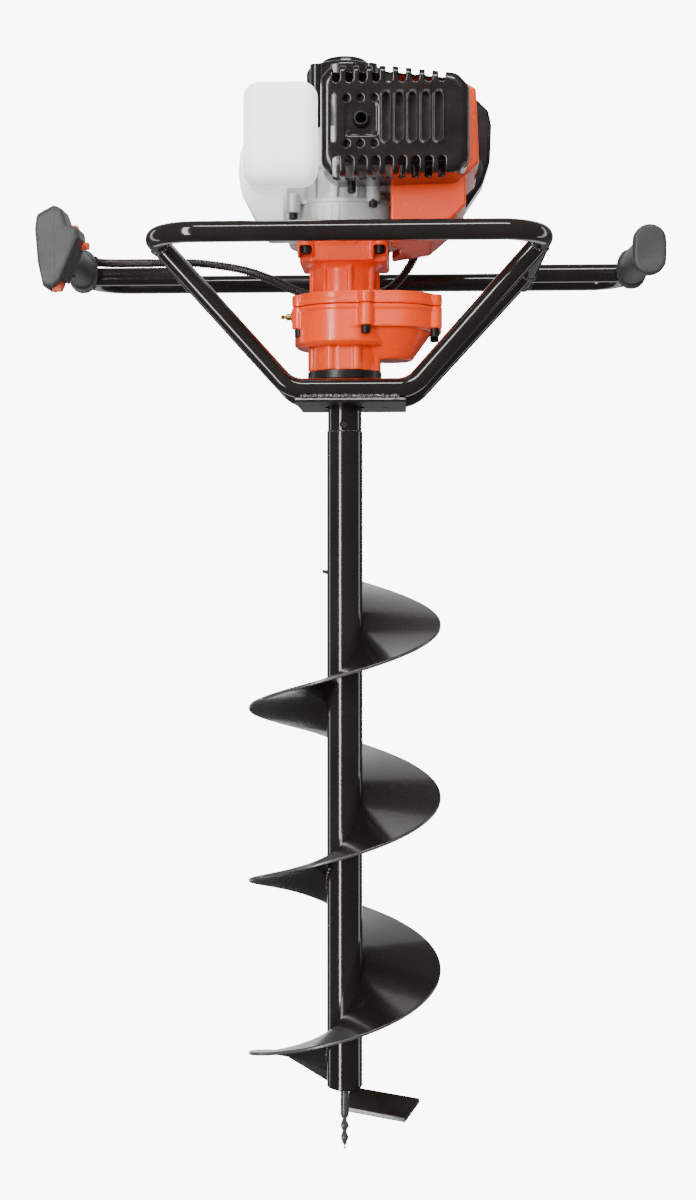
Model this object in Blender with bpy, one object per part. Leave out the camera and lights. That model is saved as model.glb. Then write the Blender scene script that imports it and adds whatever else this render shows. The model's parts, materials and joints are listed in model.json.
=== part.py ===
"""Petrol earth auger: engine, two-stage gearbox, carrying frame and screw bit.

Metres, +Z up. X runs to the right, Y away from the viewer. The origin lies on the drive axis,
at the height of the handlebar's centre line. Every size below is a real size in metres.
"""

import math

import bmesh
import bpy
from mathutils import Matrix, Vector

# Clearances
GAP = 0.0003
RUNNING_GAP = 0.0012

# Carrying frame
TUBE_R = 0.010
FRAME_X = 0.008
RING_HALF_WIDTH = 0.1885
RING_FRONT_Y = -0.148
RING_BEND_R = 0.045
BAR_Y = 0.156
BAR_HALF_SPAN = 0.300
BAR_BEND_R = 0.040
BAR_END_Y = -0.036
BRACE_Y = 0.100
LEG_TOP_Y = 0.086
LEG_FOOT_Y = 0.060
LEG_FOOT_HALF_WIDTH = 0.061
LEG_BEND_R = 0.030
PLATE_HALF_X = 0.056
PLATE_HALF_Y = 0.066
PLATE_THICK = 0.004
PLATE_UNDER_Z = -0.155
PLATE_TOP_Z = PLATE_UNDER_Z + PLATE_THICK
LEG_FOOT_Z = PLATE_TOP_Z + TUBE_R + GAP

# Grips
GRIP_REAR_Y = 0.084
GRIP_FRONT_Y = -0.052
GRIP_HALF_X = 0.0140
GRIP_HALF_Z = 0.0165
FLANGE_HALF_X = 0.0160
FLANGE_HALF_Z = 0.0215
CAP_HALF_Z = 0.0255
RIGHT_X = FRAME_X + BAR_HALF_SPAN
LEFT_X = FRAME_X - BAR_HALF_SPAN

# Throttle handle
POD_REAR_Y = -0.012
POD_FRONT_Y = -0.058
HANDLE_LIFT = 0.0025
TRIGGER_HALF_WIDTH = 0.0055
TRIGGER_PIVOT_Y = -0.036
TRIGGER_PIVOT_Z = -0.0185
TRIGGER_PIN_R = 0.0020
INTERLOCK_PIVOT_Y = 0.046
INTERLOCK_PIVOT_Z = 0.0158
INTERLOCK_HALF_WIDTH = 0.0045
INTERLOCK_PIN_R = 0.0016
SWITCH_X = LEFT_X + 0.0168
SWITCH_HALF_WIDTH = 0.0042
SWITCH_FLOOR_Z = 0.0170
SWITCH_TRAVEL = 0.006
BUTTON_Y = -0.028
BUTTON_Z = 0.0100
BUTTON_R = 0.0040
BUTTON_TRAVEL = 0.003

# Drive line
SHAFT_R = 0.010
SOCKET_R = 0.0175
AUGER_TUBE_R = 0.0185
AUGER_TUBE_WALL = 0.0017
TUBE_TOP_Z = -0.1806
TUBE_END_Z = -0.861
SOCKET_TOP_Z = -0.129
SHAFT_END_Z = -0.185
PIN_R = 0.004
PIN_Z = -0.1740
FLIGHT_R = 0.100
FLIGHT_PITCH = 0.179
FLIGHT_THICK = 0.0035
FLIGHT_FIRST_DEG = -107
FLIGHT_LAST_DEG = 949
FLIGHT_STEP_DEG = 11
FLIGHT_END_Z = TUBE_END_Z + 0.0081
FLIGHT_ZERO_Z = FLIGHT_END_Z + FLIGHT_PITCH * FLIGHT_LAST_DEG / 360
PILOT_R = 0.0044
PILOT_SHANK_END_Z = -0.888
PILOT_TIP_Z = -0.927
CUTTER_THICK = 0.004
BLADE_THICK = 0.004
BLADE_ROOT_X = PILOT_R + GAP
BLADE_CORNERS = ((BLADE_ROOT_X, 0.0005), (0.078, -0.014), (0.063, -0.034), (BLADE_ROOT_X, -0.0218))
BLADE_SLOPE_X = 0.04
BLADE_SLOPE_Y = 0.645
BLADE_Z = TUBE_END_Z - 0.0015

# Gear train
CENTRE_DISTANCE = 0.048
PRESSURE_ANGLE = math.radians(25)
ADDENDUM = 0.8
DEDENDUM = 1.05
BACKLASH = 0.00025
INPUT_TEETH = 10
LAY_TEETH = 54
LAY_PINION_TEETH = 10
OUTPUT_TEETH = 38
FIRST_MODULE = 2 * CENTRE_DISTANCE / (INPUT_TEETH + LAY_TEETH)
SECOND_MODULE = 2 * CENTRE_DISTANCE / (LAY_PINION_TEETH + OUTPUT_TEETH)
GEAR_CLEAR = 0.0035
SMALL_GEAR_TEETH = 20

# Gearbox levels
SPLIT_Z = -0.054
OUTPUT_GEAR_LOW_Z = -0.0885
OUTPUT_GEAR_TOP_Z = -0.0735
SHAFT_TOP_Z = -0.0715
INPUT_PINION_LOW_Z = -0.0690
LAY_GEAR_LOW_Z = -0.0665
LAY_GEAR_TOP_Z = -0.0565
CAVITY_FLOOR_Z = -0.091
CASE_FLOOR_Z = -0.095
CASE_WALL = 0.0055
RIGHT_CASE_FLOOR_Z = -0.077
LAY_BOSS_END_Z = -0.107
COVER_TOP_Z = -0.041
NECK_R = 0.0395
NECK_END_Z = -0.119
UPPER_NECK_R = 0.0355
BELL_LOW_Z = -0.0095
BELL_TOP_Z = 0.011
BELL_HALF = 0.045
DRUM_R = 0.0300
DRUM_WALL = 0.0025
DRUM_FLOOR_Z = -0.0075
SHOE_PIN_R = 0.0035
SHOE_PIN_Y = 0.0195
SHOE_LOW_Z = -0.0025
SHOE_INNER_R = 0.0125
SHOE_TRAVEL = RUNNING_GAP - GAP
CASE_BOLTS = (
    (-0.046, -0.022), (0.0235, -0.0525), (0.0935, -0.0225), (0.0235, 0.0525), (-0.046, 0.022), (0.0935, 0.0225)
)
CASE_BOLT_R = 0.0075
EAR_R = 0.0075
EAR_CIRCLE_R = 0.0425
BOLT_HOLE_R = 0.0033

# Bearings
BIG_BEARING_R = 0.021
SMALL_BEARING_R = 0.013
LAY_SHAFT_R = 0.006
INPUT_BEARING_R = 0.016
INPUT_SHAFT_R = 0.0075

# Engine
FAN_CASE_R = 0.058
FAN_CASE_WALL = 0.003
FAN_CASE_TOP_Z = 0.047
FLYWHEEL_R = FAN_CASE_R - FAN_CASE_WALL - 0.005
FLYWHEEL_LOW_Z = 0.019
FLYWHEEL_TOP_Z = 0.028
FAN_BLADE_TOP_Z = 0.041
CRANK_R = 0.0085
CRANKCASE_R = 0.044
CRANKCASE_TOP_Z = 0.128
CYLINDER_Z = 0.092
CYLINDER_X = 0.052
CYLINDER_END_X = 0.114
FIN_R = 0.037
SHROUD_LEFT_X = 0.0485
SHROUD_FRONT_Y = -0.062
SHROUD_BACK_Y = 0.052
SHROUD_WALL = 0.0025
GUARD_LEFT_X = -0.019
GUARD_RIGHT_X = 0.126
GUARD_FRONT_Y = -0.116
GUARD_BACK_Y = -0.0625
GUARD_LOW_Z = 0.060
GUARD_TOP_Z = 0.168
GUARD_WALL = 0.0022
GUARD_SLOT_X = 0.0452
GUARD_SLOT_PITCH = 0.0127
GUARD_SLOT_Z = 0.1155
EXHAUST_X = 0.021
EXHAUST_Z = 0.1135
EXHAUST_R = 0.0068
EXHAUST_PORT_X = 0.086
EXHAUST_END_Y = -0.123
MUFFLER_LOW = (0.002, -0.1085, 0.080)
MUFFLER_HIGH = (0.112, -0.066, 0.152)
STARTER_R = 0.040
STARTER_HUB_R = 0.025
STARTER_SHOULDER_Z = 0.1965
STARTER_TOP_Z = 0.205
PULLEY_R = 0.018
ROPE_Z = 0.150
TANK_SEAT_X = -(FAN_CASE_R + 0.002)
TANK_LEFT_X = TANK_SEAT_X - 0.0510
TANK_FRONT_Y = -0.080
TANK_BACK_Y = 0.0625
TANK_LOW_Z = 0.0280
CAP_X = TANK_SEAT_X - 0.0060
CAP_Y = 0.024
TANK_TOP_Z = 0.166
CAP_R = 0.021
CARB_X = 0.083
CARB_Z = 0.092
FILTER_FRONT_Y = 0.099
FILTER_BACK_Y = 0.142

CARB_HALF_X = 0.016
LEVER_POST_R = 0.0030
LEVER_Y = 0.0790
CHOKE_X = 0.1220
CHOKE_Z = 0.0850
CHOKE_POST_R = 0.0028
PRIMER_SEAT_R = 0.0052
PRIMER_SEAT_X = CARB_X - CARB_HALF_X - 0.0050
PRIMER_WALL = 0.0015
PRIMER_TRAVEL = 0.0025

# Throttle cable
CABLE_R = 0.0048
CABLE_START = (LEFT_X + 0.0125, GRIP_REAR_Y - 0.0035, 0.0152)
CABLE_ROUTE = (
    CABLE_START,
    (-0.2792, 0.0930, 0.0153),
    (-0.2660, 0.1010, 0.0155),
    (-0.2300, 0.1025, 0.0156),
    (-0.1950, 0.1035, 0.0156),
    (-0.1650, 0.1045, 0.0150),
    (-0.1200, 0.1050, 0.0080),
    (-0.0850, 0.0960, -0.0050),
    (-0.0500, 0.0780, -0.0230),
    (0.0000, 0.0680, -0.0340),
    (0.0420, 0.0680, -0.0230),
    (0.0680, 0.0690, 0.0050),
    (0.0800, 0.0730, 0.0400),
    (CARB_X, 0.0760, CARB_Z - 0.0183),
)

# Facets round a full circle
ROUND = 20
FINE = 28
TUBE_SIDES = 12

ORANGE = (0.80, 0.14, 0.035)
BLACK = (0.012, 0.011, 0.010)


def clear_scene():
    for item in list(bpy.data.objects):
        bpy.data.objects.remove(item, do_unlink=True)


def material(name, colour, roughness, metallic=0.0):
    made = bpy.data.materials.new(name)
    made.use_nodes = True
    shader = made.node_tree.nodes["Principled BSDF"]
    shader.inputs["Base Color"].default_value = (*colour, 1.0)
    shader.inputs["Roughness"].default_value = roughness
    shader.inputs["Metallic"].default_value = metallic
    return made


def assembly(name, location=(0, 0, 0)):
    """An empty on a moving group's axis, which carries the group's pieces."""
    empty = bpy.data.objects.new(name, None)
    empty.location = location
    bpy.context.scene.collection.objects.link(empty)
    return empty


def piece(item, name, group, finish):
    """Name a shape, give it its material and hang it on its group with its origin on the group's axis."""
    item.name = name
    item.data.name = name
    item.data.materials.clear()
    item.data.materials.append(finish)
    item.data.transform(Matrix.Translation(-group.location))
    item.parent = group
    item.data.shade_smooth()
    item.data.set_sharp_from_angle(angle=math.radians(32))
    return item


def shape_from(mesh_data):
    """Turn a bmesh into an object with its faces pointing outwards."""
    bmesh.ops.recalc_face_normals(mesh_data, faces=mesh_data.faces)
    mesh = bpy.data.meshes.new("shape")
    mesh_data.to_mesh(mesh)
    mesh_data.free()
    item = bpy.data.objects.new("shape", mesh)
    bpy.context.scene.collection.objects.link(item)
    return item


def combine(target, tools, operation):
    for tool in tools:
        modifier = target.modifiers.new("combine", "BOOLEAN")
        modifier.operation = operation
        modifier.solver = "EXACT"
        modifier.object = tool
        graph = bpy.context.evaluated_depsgraph_get()
        result = bpy.data.meshes.new_from_object(target.evaluated_get(graph))
        target.modifiers.remove(modifier)
        target.data = result
        bpy.data.objects.remove(tool, do_unlink=True)
    return target


def cut(target, *tools):
    return combine(target, tools, "DIFFERENCE")


def join(target, *tools):
    return combine(target, tools, "UNION")


def copy_of(item):
    twin = item.copy()
    twin.data = item.data.copy()
    bpy.context.scene.collection.objects.link(twin)
    return twin


def along(axis, across, up, level):
    """A point from its two cross-section coordinates and its place along an axis."""
    if axis == "X":
        return Vector((level, across, up))
    if axis == "Y":
        return Vector((across, level, up))
    return Vector((across, up, level))


def loft(rings):
    """Skin rings of points that correspond, and cap both ends."""
    shell = bmesh.new()
    loops = [[shell.verts.new(point) for point in ring] for ring in rings]
    count = len(loops[0])
    for low, high in zip(loops, loops[1:]):
        for i in range(count):
            j = (i + 1) % count
            shell.faces.new((low[i], low[j], high[j], high[i]))
    shell.faces.new(loops[0])
    shell.faces.new(loops[-1])
    return shape_from(shell)


def prism(outline, low, high, axis="Z"):
    return loft([[along(axis, u, v, level) for u, v in outline] for level in (low, high)])


def turned(profile, centre=(0.0, 0.0), axis="Z", steps=ROUND):
    """Turn a profile of (radius, level) points about an axis. A profile that starts and ends on the
    axis makes a solid, and one clear of the axis makes a ring."""
    shell = bmesh.new()
    rings = []
    for radius, level in profile:
        count = 1 if radius == 0 else steps
        turns = [2 * math.pi * i / steps for i in range(count)]
        rings.append(
            [
                shell.verts.new(
                    along(
                        axis,
                        centre[0] + radius * math.cos(turn),
                        centre[1] + radius * math.sin(turn),
                        level,
                    )
                )
                for turn in turns
            ]
        )
    on_axis = len(rings[0]) == 1
    following = rings[1:] if on_axis else rings[1:] + rings[:1]
    for ring, other in zip(rings, following):
        for i in range(steps):
            j = (i + 1) % steps
            corners = [ring[i % len(ring)], ring[j % len(ring)], other[j % len(other)], other[i % len(other)]]
            corners = [c for n, c in enumerate(corners) if c not in corners[:n]]
            if len(corners) > 2:
                shell.faces.new(corners)
    return shape_from(shell)


def disc(radius, low, high, centre=(0.0, 0.0), axis="Z", steps=ROUND):
    return turned([(0, low), (radius, low), (radius, high), (0, high)], centre, axis, steps)


def ring(inner, outer, low, high, centre=(0.0, 0.0), axis="Z", steps=ROUND):
    return turned([(inner, low), (outer, low), (outer, high), (inner, high)], centre, axis, steps)


def box(low, high, radius=0.0, steps=2):
    """A box between two corners, its edges rounded to a radius."""
    shell = bmesh.new()
    centre = (Vector(low) + Vector(high)) / 2
    size = Vector(high) - Vector(low)
    bmesh.ops.create_cube(shell, size=1.0, matrix=Matrix.Translation(centre) @ Matrix.Diagonal((*size, 1)))
    if radius > 0:
        bmesh.ops.bevel(
            shell, geom=list(shell.edges), offset=radius, segments=steps, profile=0.5, affect="EDGES"
        )
    return shape_from(shell)


def circle(centre, radius, steps):
    return [
        (
            centre[0] + radius * math.cos(2 * math.pi * i / steps),
            centre[1] + radius * math.sin(2 * math.pi * i / steps),
        )
        for i in range(steps)
    ]


def rounded(corners, radius, steps=3):
    """A polygon with each corner filleted. The radius may be one value or one for each corner."""
    radii = radius if isinstance(radius, (list, tuple)) else [radius] * len(corners)
    outline = []
    count = len(corners)
    for i, corner in enumerate(corners):
        here = Vector(corner)
        back = (Vector(corners[i - 1]) - here).normalized()
        ahead = (Vector(corners[(i + 1) % count]) - here).normalized()
        if radii[i] == 0:
            outline.append(tuple(here))
            continue
        half = back.angle(ahead) / 2
        reach = radii[i] / math.tan(half)
        middle = here + (back + ahead).normalized() * radii[i] / math.sin(half)
        start = here + back * reach - middle
        turn = start.angle_signed(here + ahead * reach - middle)
        for n in range(steps + 1):
            angle = -turn * n / steps
            spoke = Matrix.Rotation(angle, 2) @ start
            outline.append(tuple(middle + spoke))
    return outline


def slot_outline(centre, half_width, half_length, angle=0.0, steps=4):
    """A slot with round ends whose length runs along the second coordinate, turned by an angle."""
    points = []
    for side in (1, -1):
        for n in range(steps + 1):
            turn = math.pi * n / steps
            u = half_width * math.cos(turn) * side
            v = side * (half_length - half_width + half_width * math.sin(turn))
            points.append(
                (
                    centre[0] + u * math.cos(angle) - v * math.sin(angle),
                    centre[1] + u * math.sin(angle) + v * math.cos(angle),
                )
            )
    return points


def belt(distance, left_radius, right_radius, steps=FINE):
    """The outline round two circles on the X axis, one at zero and one at a distance."""
    lean = math.acos((left_radius - right_radius) / distance)
    points = []
    half = steps // 2
    for n in range(half + 1):
        turn = -lean + 2 * lean * n / half
        points.append((distance + right_radius * math.cos(turn), right_radius * math.sin(turn)))
    for n in range(half + 1):
        turn = lean + (2 * math.pi - 2 * lean) * n / half
        points.append((left_radius * math.cos(turn), left_radius * math.sin(turn)))
    return points


def bent_path(corners, bend_radius, steps=5):
    """The centre line of a bent tube: straight runs with an arc at each inner corner."""
    path = [Vector(corners[0])]
    for before, here, after in zip(corners, corners[1:], corners[2:]):
        here = Vector(here)
        back = (Vector(before) - here).normalized()
        ahead = (Vector(after) - here).normalized()
        half = back.angle(ahead) / 2
        reach = bend_radius / math.tan(half)
        middle = here + (back + ahead).normalized() * bend_radius / math.sin(half)
        start = here + back * reach - middle
        end = here + ahead * reach - middle
        for n in range(steps + 1):
            path.append(middle + bend_radius * start.normalized().slerp(end.normalized(), n / steps))
    path.append(Vector(corners[-1]))
    return path


def swept(path, radius, sides=TUBE_SIDES):
    """A round tube along a path, with its rings kept from twisting."""
    path = [Vector(point) for point in path]
    tangent = (path[1] - path[0]).normalized()
    side = tangent.orthogonal().normalized()
    rings = []
    for i, point in enumerate(path):
        before = path[max(i - 1, 0)]
        after = path[min(i + 1, len(path) - 1)]
        tangent = (after - before).normalized()
        side = (side - tangent * side.dot(tangent)).normalized()
        up = tangent.cross(side)
        rings.append(
            [
                point + radius * (math.cos(2 * math.pi * n / sides) * side + math.sin(2 * math.pi * n / sides) * up)
                for n in range(sides)
            ]
        )
    return loft(rings)


def smooth_path(points, pieces=4):
    """A smooth curve through the points (Catmull-Rom)."""
    points = [Vector(point) for point in points]
    ends = [2 * points[0] - points[1]] + points + [2 * points[-1] - points[-2]]
    path = []
    for a, b, c, d in zip(ends, ends[1:], ends[2:], ends[3:]):
        for n in range(pieces):
            t = n / pieces
            path.append(
                0.5 * ((2 * b) + (c - a) * t + (2 * a - 5 * b + 4 * c - d) * t**2 + (3 * b - a - 3 * c + d) * t**3)
            )
    path.append(points[-1])
    return path


def involute(angle):
    return math.tan(angle) - angle


def gear_outline(teeth, module, centre, phase):
    """An involute spur gear's outline, with a tooth centred on the phase angle."""
    pitch_r = module * teeth / 2
    base_r = pitch_r * math.cos(PRESSURE_ANGLE)
    tip_r = pitch_r + ADDENDUM * module
    root_r = pitch_r - DEDENDUM * module
    start_r = max(base_r, root_r)
    half_tooth = math.pi / (2 * teeth) - BACKLASH / (2 * pitch_r) + involute(PRESSURE_ANGLE)
    shares = (0, 0.45, 1) if teeth < SMALL_GEAR_TEETH else (0, 1)
    flank = [start_r + (tip_r - start_r) * share for share in shares]
    angles = [half_tooth - involute(math.acos(min(1.0, base_r / r))) for r in flank]
    points = []
    for n in range(teeth):
        middle = phase + 2 * math.pi * n / teeth
        tooth = [(r, -a) for r, a in zip(flank, angles)] + [(r, a) for r, a in zip(flank[::-1], angles[::-1])]
        if root_r < base_r:
            tooth = [(root_r, -angles[0])] + tooth + [(root_r, angles[0])]
        points += [(centre[0] + r * math.cos(middle + a), centre[1] + r * math.sin(middle + a)) for r, a in tooth]
    return points


def tip_radius(teeth, module):
    return module * (teeth / 2 + ADDENDUM)


def tube_frame(group, paint):
    """The ring, the long handlebar, its braces and the two leg tubes, each end shaped to its neighbour."""
    left, right = FRAME_X - RING_HALF_WIDTH, FRAME_X + RING_HALF_WIDTH
    bar_line = bent_path(
        [(LEFT_X, BAR_END_Y, 0), (LEFT_X, BAR_Y, 0), (RIGHT_X, BAR_Y, 0), (RIGHT_X, BAR_END_Y, 0)], BAR_BEND_R
    )
    ring_line = bent_path(
        [(left, BAR_Y, 0), (left, RING_FRONT_Y, 0), (right, RING_FRONT_Y, 0), (right, BAR_Y, 0)], RING_BEND_R
    )
    bar = swept(bar_line, TUBE_R)
    ring_tube = cut(swept(ring_line, TUBE_R), swept(bar_line, TUBE_R + GAP))
    piece(bar, "handlebar", group, paint)
    piece(ring_tube, "handle_ring", group, paint)
    for name, inner_x, outer_x in (("brace_left", left, LEFT_X), ("brace_right", right, RIGHT_X)):
        brace = swept([(inner_x, BRACE_Y, 0), (outer_x, BRACE_Y, 0)], TUBE_R)
        cut(brace, swept(ring_line, TUBE_R + GAP), swept(bar_line, TUBE_R + GAP))
        piece(brace, name, group, paint)
    for name, side in (("front_leg_tube", -1), ("rear_leg_tube", 1)):
        top_y, foot_y = side * LEG_TOP_Y, side * LEG_FOOT_Y
        foot_left, foot_right = FRAME_X - LEG_FOOT_HALF_WIDTH, FRAME_X + LEG_FOOT_HALF_WIDTH
        corners = [
            (left, top_y, 0),
            (foot_left, foot_y, LEG_FOOT_Z),
            (foot_right, foot_y, LEG_FOOT_Z),
            (right, top_y, 0),
        ]
        leg = cut(swept(bent_path(corners, LEG_BEND_R), TUBE_R), swept(ring_line, TUBE_R + GAP))
        piece(leg, name, group, paint)


def mounting_plate(group, paint):
    low_x, high_x = FRAME_X - PLATE_HALF_X, FRAME_X + PLATE_HALF_X
    corners = [(low_x, -PLATE_HALF_Y), (high_x, -PLATE_HALF_Y), (high_x, PLATE_HALF_Y), (low_x, PLATE_HALF_Y)]
    plate = prism(rounded(corners, 0.004, 2), PLATE_UNDER_Z, PLATE_TOP_Z)
    cut(plate, disc(SOCKET_R + 0.0035, PLATE_UNDER_Z - 0.01, PLATE_TOP_Z + 0.01))
    for turn in range(3):
        spot = ear_spot(turn)
        cut(plate, disc(BOLT_HOLE_R, PLATE_UNDER_Z - 0.01, PLATE_TOP_Z + 0.01, spot, steps=12))
    return piece(plate, "mounting_plate", group, paint)


def ear_spot(turn):
    """The centre of one of the three bolts that hold the gearbox on the plate."""
    angle = 2 * math.pi * turn / 3
    return (EAR_CIRCLE_R * math.cos(angle), EAR_CIRCLE_R * math.sin(angle))


def base_ring(group, finish):
    low, high = PLATE_TOP_Z + GAP, NECK_END_Z - GAP
    body = disc(NECK_R - 0.001, low, high, steps=ROUND)
    for turn in range(3):
        body = join(body, disc(EAR_R, low, low + 0.011, ear_spot(turn), steps=12))
        cut(body, disc(BOLT_HOLE_R, low - 0.01, low + 0.020, ear_spot(turn), steps=8))
    cut(body, disc(SOCKET_R + RUNNING_GAP, low - 0.01, high + 0.01))
    return piece(body, "gearbox_base_ring", group, finish)


def case_outline():
    left = tip_radius(OUTPUT_TEETH, SECOND_MODULE) + GEAR_CLEAR + CASE_WALL + 0.0035
    right = tip_radius(LAY_TEETH, FIRST_MODULE) + GEAR_CLEAR + CASE_WALL
    return belt(CENTRE_DISTANCE, left, right, FINE)


def lower_case(group, paint):
    """The gear case's lower half: two joined rounds, a ribbed neck and the lay shaft's tapered boss."""
    centre = (CENTRE_DISTANCE, 0)
    left = tip_radius(OUTPUT_TEETH, SECOND_MODULE) + GEAR_CLEAR
    right = tip_radius(LAY_TEETH, FIRST_MODULE) + GEAR_CLEAR
    case = prism(case_outline(), RIGHT_CASE_FLOOR_Z, SPLIT_Z - GAP)
    drum = turned(
        [(0, CASE_FLOOR_Z), (left + 0.006, CASE_FLOOR_Z), (left + 0.009, CASE_FLOOR_Z + 0.003),
         (left + 0.009, SPLIT_Z - 0.004), (0, SPLIT_Z - 0.004)],
        steps=FINE,
    )
    boss = turned(
        [(0, LAY_BOSS_END_Z), (0.0215, LAY_BOSS_END_Z), (0.0235, LAY_BOSS_END_Z + 0.002),
         (0.044, RIGHT_CASE_FLOOR_Z + 0.0005), (0.044, RIGHT_CASE_FLOOR_Z + 0.004),
         (0, RIGHT_CASE_FLOOR_Z + 0.004)],
        centre,
        steps=FINE,
    )
    neck = disc(NECK_R - 0.003, NECK_END_Z, CASE_FLOOR_Z + 0.002, steps=FINE)
    join(case, drum, boss, neck)
    for n in range(8):
        angle = math.radians(22.5 + 45 * n)
        spot = ((NECK_R - 0.0045) * math.cos(angle), (NECK_R - 0.0045) * math.sin(angle))
        join(case, disc(0.0052, NECK_END_Z, CASE_FLOOR_Z + 0.001, spot, steps=8))
    for spot in CASE_BOLTS:
        join(case, disc(CASE_BOLT_R, RIGHT_CASE_FLOOR_Z + 0.0005, SPLIT_Z - GAP, spot, steps=10))
    join(case, disc(0.0065, -0.0560, -0.0500, (0, -0.0605), axis="X", steps=12))
    cut(
        case,
        disc(left, CAVITY_FLOOR_Z, SPLIT_Z + 0.01, steps=FINE),
        disc(right, LAY_GEAR_LOW_Z - 0.003, SPLIT_Z + 0.01, centre, steps=FINE),
        disc(
            tip_radius(LAY_PINION_TEETH, SECOND_MODULE) + 0.0025,
            CAVITY_FLOOR_Z, LAY_GEAR_LOW_Z, centre, steps=16,
        ),
        disc(SMALL_BEARING_R + GAP, CAVITY_FLOOR_Z - 0.0105, CAVITY_FLOOR_Z + 0.002, centre),
        disc(BIG_BEARING_R + GAP, NECK_END_Z - 0.01, CAVITY_FLOOR_Z + 0.002),
        disc(0.0033, -0.0600, -0.0400, (0, -0.0605), axis="X", steps=10),
    )
    return piece(case, "gearbox_lower_case", group, paint)


def bell_bolts():
    """The centres of the four bolts that hold the gearbox under the engine's fan housing."""
    x, y = BELL_HALF - CASE_BOLT_R, BELL_HALF - 0.0015
    return [(-x, -y), (x, -y), (x, y), (-x, y)]


def upper_case(group, paint):
    """The gear case's cover, its ribbed neck and the square bell that holds the clutch drum."""
    low = SPLIT_Z + GAP
    case = prism(case_outline(), low, COVER_TOP_Z)
    neck = disc(UPPER_NECK_R - 0.0025, COVER_TOP_Z - 0.002, BELL_LOW_Z + 0.002, steps=FINE)
    half = BELL_HALF
    square = [(-half, -half), (half, -half), (half, half), (-half, half)]
    bell = prism(rounded(square, 0.012, 3), BELL_LOW_Z, BELL_TOP_Z)
    waist = turned(
        [(0, BELL_LOW_Z - 0.006), (UPPER_NECK_R - 0.003, BELL_LOW_Z - 0.006),
         (BELL_HALF - 0.004, BELL_LOW_Z + 0.001),
         (BELL_HALF - 0.004, BELL_LOW_Z + 0.004), (0, BELL_LOW_Z + 0.004)],
        steps=FINE,
    )
    join(case, neck, waist, bell)
    for n in range(8):
        angle = math.radians(11 + 45 * n)
        ridge = box(
            (UPPER_NECK_R - 0.005, -0.0022, COVER_TOP_Z - 0.001),
            (UPPER_NECK_R + 0.0015, 0.0022, BELL_LOW_Z + 0.001),
        )
        ridge.data.transform(Matrix.Rotation(angle, 4, "Z"))
        join(case, ridge)
    for spot in CASE_BOLTS:
        join(case, disc(CASE_BOLT_R, low, COVER_TOP_Z - 0.001, spot, steps=10))
    for spot in bell_bolts():
        join(case, disc(CASE_BOLT_R, BELL_LOW_Z + 0.004, BELL_TOP_Z, spot, steps=10))
    cut(
        case,
        disc(DRUM_R + 0.0022, DRUM_FLOOR_Z - RUNNING_GAP, BELL_TOP_Z + 0.01, steps=FINE),
        disc(INPUT_BEARING_R + GAP, COVER_TOP_Z - 0.002, DRUM_FLOOR_Z),
        disc(INPUT_BEARING_R - 0.003, SPLIT_Z - 0.01, COVER_TOP_Z),
        disc(SMALL_BEARING_R + GAP, SPLIT_Z - 0.01, SPLIT_Z + 0.0095, (CENTRE_DISTANCE, 0)),
    )
    return piece(case, "gearbox_upper_case", group, paint)


def bearing(name, group, finish, inner, outer, low, high, centre=(0.0, 0.0)):
    """A sealed ball bearing: two races with the seal set back between them."""
    land = (outer - inner) * 0.28
    lip = 0.0006
    middle = (inner + outer) / 2
    profile = [
        (inner, low), (middle - land / 2, low), (middle, low + lip), (outer, low),
        (outer, high), (middle, high - lip), (middle - land / 2, high), (inner, high),
    ]
    return piece(turned(profile, centre, steps=14), name, group, finish)


def gear_with_bore(teeth, module, centre, phase, bore, low, high):
    wheel = prism(gear_outline(teeth, module, centre, phase), low, high)
    return cut(wheel, disc(bore, low - 0.01, high + 0.01, centre))


def output_train(group, steel):
    shaft = disc(SHAFT_R, SHAFT_END_Z, SHAFT_TOP_Z)
    cut(shaft, disc(PIN_R + GAP, -0.05, 0.05, (0, PIN_Z), axis="Y", steps=12))
    piece(shaft, "output_shaft", group, steel)
    phase = math.pi / OUTPUT_TEETH
    wheel = gear_with_bore(
        OUTPUT_TEETH, SECOND_MODULE, (0, 0), phase, SHAFT_R + GAP, OUTPUT_GEAR_LOW_Z, OUTPUT_GEAR_TOP_Z
    )
    piece(wheel, "output_gear", group, steel)


def lay_train(group, steel):
    """The lay shaft with its pinion cut in one piece, and the large gear pressed on it."""
    centre = (CENTRE_DISTANCE, 0)
    seat_r = 0.008
    pinion = prism(
        gear_outline(LAY_PINION_TEETH, SECOND_MODULE, centre, math.pi),
        OUTPUT_GEAR_LOW_Z - 0.001,
        OUTPUT_GEAR_TOP_Z + 0.001,
    )
    journal = disc(LAY_SHAFT_R, CAVITY_FLOOR_Z - 0.010, SPLIT_Z + 0.009, centre)
    seat = disc(seat_r, OUTPUT_GEAR_TOP_Z, SPLIT_Z + 0.0005, centre)
    piece(join(pinion, journal, seat), "layshaft_pinion", group, steel)
    phase = math.pi / LAY_TEETH
    wheel = gear_with_bore(LAY_TEETH, FIRST_MODULE, centre, phase, seat_r + GAP, LAY_GEAR_LOW_Z, LAY_GEAR_TOP_Z)
    piece(wheel, "layshaft_gear", group, steel)


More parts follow.
